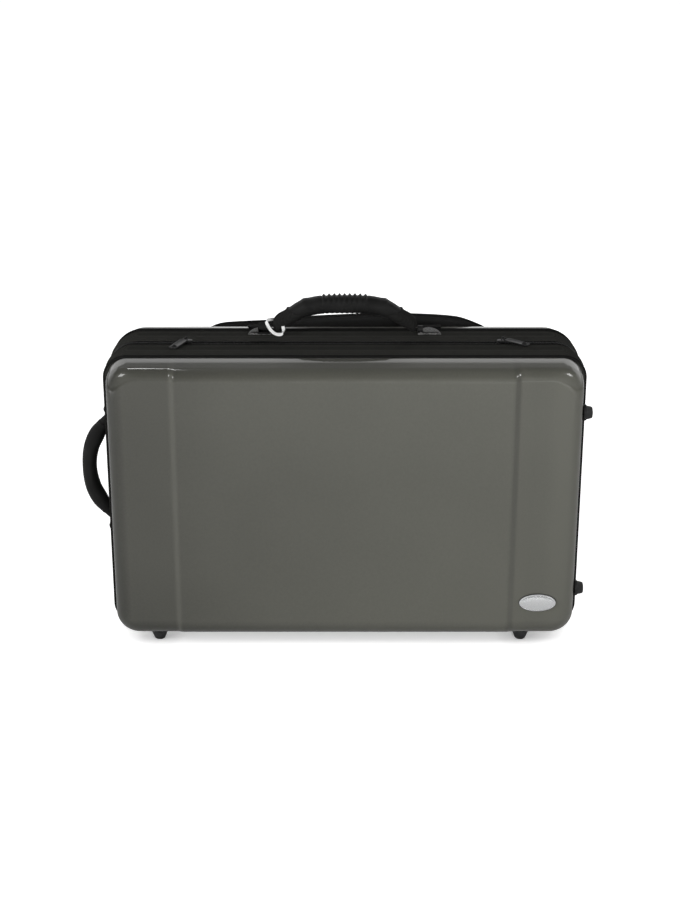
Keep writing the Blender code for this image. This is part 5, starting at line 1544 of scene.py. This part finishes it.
def pad(name, outline, thickness, crown, border, replaced):
    """A pad with a flat back, a rolled edge and a front that swells, from its (x, z) outline."""
    bm = bmesh.new()
    face = bm.faces.new([bm.verts.new((x, HARNESS_Y, z)) for x, z in outline])
    grown = bmesh.ops.extrude_face_region(bm, geom=[face])["geom"]
    bmesh.ops.translate(bm, verts=only("Vert", grown), vec=(0, thickness - crown, 0))
    bmesh.ops.recalc_face_normals(bm, faces=bm.faces)
    outer = max(bm.faces, key=lambda f: f.calc_center_median().y)
    for share in (0.65, 0.35):
        bmesh.ops.inset_region(
            bm, faces=[outer], thickness=border * (1 - share), depth=crown * share, use_even_offset=True)
    bmesh.ops.translate(bm, verts=bm.verts, vec=HOME)
    made = new_object(name, bm)
    remesh = made.modifiers.new("remesh", "REMESH")
    remesh.mode = "VOXEL"
    remesh.voxel_size = VOXEL
    smooth = made.modifiers.new("smooth", "SMOOTH")
    smooth.factor = 0.5
    smooth.iterations = 6
    apply_modifiers(made)
    soft = bmesh.new()
    soft.from_mesh(made.data)
    soft.normal_update()
    back_y = HOME.y + HARNESS_Y
    for vert in soft.verts:
        free = min(1.0, max(0.0, (vert.co.y - back_y - 0.003) / 0.006))
        puff = noise.noise(vert.co * 26.0) * 0.0011 + noise.noise(vert.co * 70.0) * 0.0004
        vert.co += vert.normal * puff * free
        vert.co.y = max(vert.co.y, back_y)
    soft.to_mesh(made.data)
    soft.free()
    made.data.materials.clear()
    made.data.materials.append(pad_cloth.material)
    made.data.shade_smooth()
    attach(made, "case")
    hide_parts(replaced)


def edge_cord(name, outline, y):
    """Piping sewn round a pad's outline, with a row of stitches beside it."""
    middle = Vector((sum(x for x, _ in outline), 0, sum(z for _, z in outline))) / len(outline)
    points = [Vector((x, y, z)) for x, z in outline]
    cord = tube(points, PIPING_RADIUS, (0, 1, 0), True)
    piece(name, cord, binding_cloth, "case", smooth=60.0)
    out = Vector((0, 1, 0))
    stitches = []
    for start, after in zip(points, points[1:] + points[:1]):
        run = (after - start).normalized()
        count = max(1, round((after - start).length / PAD_STITCH_PITCH))
        for k in range(count):
            spot = start.lerp(after, (k + 0.5) / count)
            spot += (Vector((middle.x, y, middle.z)) - spot).normalized() * PAD_STITCH_INSET
            place = Matrix.Translation(spot + out * PAD_STITCH_LIFT)
            stitches.append(place @ axes(run, out.cross(run), out))
    piece(name + "_stitches", repeat(stitch(PAD_STITCH), stitches), thread, "case", smooth=0)


# %% [markdown]
# The yoke's top edge shows behind the case in the photograph, so its outline has listed points there
# and a smooth curve through them. The straps are hidden, and taper plainly to their ladder locks.

# %% Yoke and shoulder straps
strap_inner = STRAP_X - STRAP_WIDTH / 2
strap_outer = STRAP_X + STRAP_WIDTH / 2
yoke_left, yoke_right = YOKE_TOP[0][0], YOKE_TOP[-1][0]
yoke_tall = YOKE_TOP[0][1] - YOKE_BOTTOM
shoulder_z = YOKE_BOTTOM + 0.4 * yoke_tall
notch_z = YOKE_BOTTOM + 0.5 * yoke_tall
yoke_outline = smooth_through(YOKE_TOP, 4) + [
    (yoke_right - 0.010, shoulder_z), (strap_outer, YOKE_BOTTOM), (strap_inner, YOKE_BOTTOM),
    (strap_inner / 2, notch_z), (-strap_inner / 2, notch_z), (-strap_inner, YOKE_BOTTOM),
    (-strap_outer, YOKE_BOTTOM), (yoke_left + 0.010, shoulder_z),
]
pad("yoke_pad", yoke_outline, YOKE_THICKNESS, YOKE_CROWN, PAD_BORDER, "harness_yoke")
edge_cord("yoke_piping", yoke_outline, HARNESS_Y + 0.0075)

for side_name, side_sign in ENDS:
    x = side_sign * STRAP_X
    half = STRAP_WIDTH / 2
    top = YOKE_BOTTOM - GAP
    taper = STRAP_BOTTOM + STRAP_TAPER
    strap_outline = [
        (x - half, top), (x + half, top), (x + half, taper), (x + LOCK_WIDTH / 2, STRAP_BOTTOM),
        (x - LOCK_WIDTH / 2, STRAP_BOTTOM), (x - half, taper),
    ]
    pad("strap_pad_" + side_name, strap_outline, STRAP_THICKNESS, STRAP_CROWN, PAD_BORDER,
        "shoulder_strap_" + side_name)
    edge_cord("strap_piping_" + side_name, strap_outline, HARNESS_Y + 0.0055)
print("harness pads made")

# %% [markdown]
# Webbing ties the yoke to the handle's plates and the straps to their rings. It is a flat section
# with rounded edges, drawn over the shell along the same route as in the CAD part.

# %% Webbing of the harness
WEB_WIDTH = 0.024
WEB_THICKNESS = 0.0016
ANCHOR_WEB_X = 0.104
RING_Z = 0.062
RING_HALF = 0.006
RING_WIRE = 0.0019
TAB_FOLD = 0.013
WEB_STITCHES = 7
TIE_END_X = -0.0955
TIE_END_WIDTH = 0.015
TIE_END = (
    (0.0505, 0.3456), (0.0440, 0.3484), (0.0380, 0.3520), (0.0335, 0.3548), (0.0290, 0.3556),
    (0.0250, 0.3545), (0.0222, 0.3510), (0.0214, 0.3470), (0.0212, 0.3454),
)


def web(points, x, up, width=WEB_WIDTH, thickness=WEB_THICKNESS):
    """A flat web from its (y, z) points at one x."""
    route = [Vector((x, y, z)) for y, z in points]
    return draw(places_along(route, up), width / 2, thickness / 2, thickness * 0.42, 3)


def web_stitches(x, y, z_rows, half_width):
    rows = []
    for z in z_rows:
        for i in range(WEB_STITCHES):
            spot = Vector((x - half_width + 2 * half_width * (i + 0.5) / WEB_STITCHES, y, z))
            rows.append(Matrix.Translation(spot) @ Matrix.Rotation(-math.pi / 2, 4, "X"))
    return repeat(stitch(0.0024), rows)


def anchor_route():
    """From under the yoke over the rear shell's rounded edge and the welt to the anchor plate."""
    lift = 2 * GAP + WEB_THICKNESS / 2
    inset = wall_inset(SHELL_STRAIGHT["rear"])
    centre_y = RIM["rear"] + SHELL_STRAIGHT["rear"] - SHELL_EDGE * math.sin(SHELL_DRAFT)
    centre_z = BAND_HEIGHT - inset - SHELL_EDGE * math.cos(SHELL_DRAFT)
    reach_y, reach_z = SHELL_EDGE + PANEL_RAISE + lift, SHELL_EDGE + lift
    points = [(REAR_PANEL_Y + lift, YOKE_BOTTOM + YOKE_THICKNESS), (REAR_PANEL_Y + lift, 0.315)]
    for i in range(11):
        angle = (math.pi / 2 - SHELL_DRAFT) * i / 10
        points.append((centre_y + reach_y * math.cos(angle), centre_z + reach_z * math.sin(angle)))
    near_rim = WELT_WIDTH / 2
    over = BAND_HEIGHT + lift
    return points + [
        (RIM["rear"] + near_rim, BAND_HEIGHT - wall_inset(near_rim) + lift), (RIM["rear"] - 0.001, over),
        (0.052, over), (PLATE_FRONT + PLATE_DEPTH + GAP, over),
    ]


def ring_points(x):
    """A ring of wire flat on the shell: four straight sides and round corners."""
    across = WEB_WIDTH / 2 + 3 * GAP - RING_WIRE
    level = RING_HALF - RING_WIRE
    points = []
    for sx, sz, start in ((1, 1, 0), (-1, 1, 90), (-1, -1, 180), (1, -1, 270)):
        for k in range(7):
            angle = math.radians(start + 15 * k)
            points.append(Vector((
                x + sx * across + 2 * RING_WIRE * math.cos(angle), HARNESS_Y + RING_WIRE,
                RING_Z + sz * level + 2 * RING_WIRE * math.sin(angle))))
    return points


tie_end = web(TIE_END, TIE_END_X, (0, 0.2, 1), TIE_END_WIDTH)
piece("anchor_tie_end_left", tie_end, webbing, "case")

for side_name, side_sign in ENDS:
    tie = web(anchor_route(), side_sign * ANCHOR_WEB_X, (0, 1, 1))
    piece("anchor_tie_" + side_name, tie, webbing, "case", ("anchor_web_" + side_name,))
    x = side_sign * STRAP_X
    web_y = HARNESS_Y + WEB_THICKNESS / 2
    low = RING_Z + RING_HALF + 2 * RING_WIRE + GAP
    lower = web([(web_y, STRAP_BOTTOM - GAP), (web_y, 0.1), (web_y, low)], x, (0, 1, 0))
    piece("lower_strap_" + side_name, lower, webbing, "case", ("lower_web_" + side_name,))
    ring = tube(ring_points(x), RING_WIRE, (0, 1, 0), True, 4)
    piece("strap_ring_" + side_name, ring, nickel, "case", ("lower_ring_" + side_name,), 60.0)
    tab_top = RING_Z - RING_HALF - 2 * RING_WIRE - GAP
    tab_thick = 0.0024 - GAP + 2 * WEB_THICKNESS
    tab_y = REAR_PANEL_Y + GAP + tab_thick / 2
    plies = []
    for y in (tab_y - tab_thick / 4, tab_y + tab_thick / 4):
        route = [(y, tab_top), (y, tab_top - TAB_FOLD), (y, tab_top - 2 * TAB_FOLD)]
        plies.append(web(route, x, (0, 1, 0), WEB_WIDTH, tab_thick * 0.48))
    piece("ring_fold_" + side_name, gather(*plies), webbing, "case", ("ring_tab_" + side_name,))
    sewn = web_stitches(x, tab_y + tab_thick / 2, (tab_top - 0.004, tab_top - 0.007), WEB_WIDTH * 0.42)
    piece("ring_fold_stitches_" + side_name, sewn, thread, "case", smooth=0)
print("webs made")

# %% [markdown]
# ## Lining
# Inside, both halves are padded with foam under plush, and two padded dividers part the rear half
# into bays. Everything has rounded edges, since cloth is pulled over the foam.

# %% Lining
PAD_DEPTH = 0.012
PAD_EDGE = 0.004
LINING_INSET = BAND_WALL + GAP
LINING_START = ZIP_TAPE_WIDTH + 0.004
FACE_PAD_INSET = 0.022
CUT_PITCH = 0.02


def make_face_pad(half, outer):
    """A slab with one rounded edge, cut into small faces so that its surface can swell unevenly."""
    side = SIDE[half]
    corner = SHELL_CORNERS[half][1] - SHELL_WALL
    inner = outer - PAD_DEPTH
    rings = []
    for i in range(7):
        angle = math.pi / 2 * i / 6
        ease = PAD_EDGE * (1 - math.sin(angle))
        y = inner + PAD_EDGE * (1 - math.cos(angle))
        rings.append((FACE_PAD_INSET + ease, corner - ease, side * y))
    rings.append((FACE_PAD_INSET, corner, side * outer))
    bm = bmesh.new()
    loops = case_loops(bm, rings, 8)
    bridge(bm, loops)
    bmesh.ops.holes_fill(bm, edges=loops[0], sides=0)
    bmesh.ops.holes_fill(bm, edges=loops[-1], sides=0)
    bmesh.ops.recalc_face_normals(bm, faces=bm.faces)
    for axis, reach in ((Vector((1, 0, 0)), HALF_WIDTH), (Vector((0, 0, 1)), HALF_HEIGHT)):
        cuts = int(2 * reach / CUT_PITCH)
        for i in range(1, cuts):
            cut(bm, axis * (2 * reach * i / cuts - reach) + Vector((0, 0, HALF_HEIGHT)), axis)
    for vert in bm.verts:
        if abs(vert.co.y - side * inner) < 1e-5:
            vert.co.y += side * 0.0012 * (0.5 + 0.5 * noise.noise(vert.co * 18.0))
    face_pad = piece(half + "_face_cushion", bm, plush, BODY[half], (half + "_face_pad",))


def make_wall_pad(half, outer):
    """A ring round the wall, with a rounded edge beside the zip; it ends where the face pad starts."""
    side = SIDE[half]
    end = outer - PAD_DEPTH - GAP
    corner = max(band_corner(side * LINING_START), band_corner(side * RIM[half])) - LINING_INSET
    profile = [(0.0, end), (0.0, LINING_START + 0.003)]
    for i in range(9):
        angle = math.pi * i / 8
        deep = PAD_DEPTH / 2 * (1 - math.cos(angle))
        profile.append((deep, LINING_START + PAD_EDGE * (1 - math.sin(angle))))
    profile += [(PAD_DEPTH, LINING_START + 0.006), (PAD_DEPTH, end)]
    rings = [(LINING_INSET + p, corner - p, side * y) for p, y in profile]
    wall_pad = piece(
        half + "_wall_cushion", skin(rings, closed=True, steps=8), plush, BODY[half],
        (half + "_wall_lining",))
    return end


for half_name in HALVES:
    lining_outer = RIM[half_name] + SHELL_STRAIGHT[half_name] + EDGE_RISE - SHELL_WALL - GAP
    make_face_pad(half_name, lining_outer)
    lining_end = make_wall_pad(half_name, lining_outer)
print("the rear lining ends at", round(lining_end, 4))

# %% [markdown]
# The lower two bays have the depth of a trumpet, and the upper bay takes what is left. Two webs hold
# down what lies in them.

# %% Dividers and hold-down straps
DIVIDER = 0.006
BAY = 0.125
DIVIDER_STEPS = 40
HOLD_X = 0.140
HOLD_WIDTH = 0.038
HOLD_THICKNESS = 0.0022
HOLD_STEPS = 12

divider_half_width = HALF_WIDTH - LINING_INSET - PAD_DEPTH - GAP
lower_z = LINING_INSET + PAD_DEPTH + BAY
upper_z = lower_z + DIVIDER + BAY
deep = lining_end - LINING_START - GAP
for side_name, z in (("lower", lower_z), ("upper", upper_z)):
    route = []
    for i in range(DIVIDER_STEPS + 1):
        x = -divider_half_width + 2 * divider_half_width * i / DIVIDER_STEPS
        route.append(Vector((x, LINING_START + deep / 2, z + DIVIDER / 2)))
    board = draw(places_along(route, (0, 0, 1)), deep / 2, DIVIDER / 2, DIVIDER * 0.46, 5)
    made = piece(
        "divider_pad_" + side_name, board, plush, "case", ("divider_" + side_name,), 50.0)

for side_name, side_sign in ENDS:
    y = LINING_START - GAP - HOLD_THICKNESS / 2
    low, high = LINING_INSET + HOLD_THICKNESS, upper_z + DIVIDER
    route = [(y, low + (high - low) * i / HOLD_STEPS) for i in range(HOLD_STEPS + 1)]
    hold = web(route, side_sign * HOLD_X, (0, -1, 0), HOLD_WIDTH, HOLD_THICKNESS)
    piece("hold_strap_" + side_name, hold, webbing, "case", ("hold_down_strap_" + side_name,))
print("upper divider at", round(upper_z, 4))

# %% [markdown]
# The ladder locks and the rivets already have their real shape in the CAD model, so they keep it and
# only get their finish.

# %% Finishes of the CAD pieces that stay
for node_name, finish in (("ladder_lock", buckle_plastic), ("ring_tab_rivet", nickel)):
    for side_name, _ in ENDS:
        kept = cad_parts[f"{node_name}_{side_name}"]
        kept.data.materials.clear()
        kept.data.materials.append(finish.material)
        print(kept.name, finish.material.name)

# %% [markdown]
# The dressed case may not be larger than the CAD model, apart from a little cloth that stands proud.
# The last cell sets the scene's view transform to Standard.

# %% View transform
bpy.context.scene.view_settings.view_transform = "Standard"
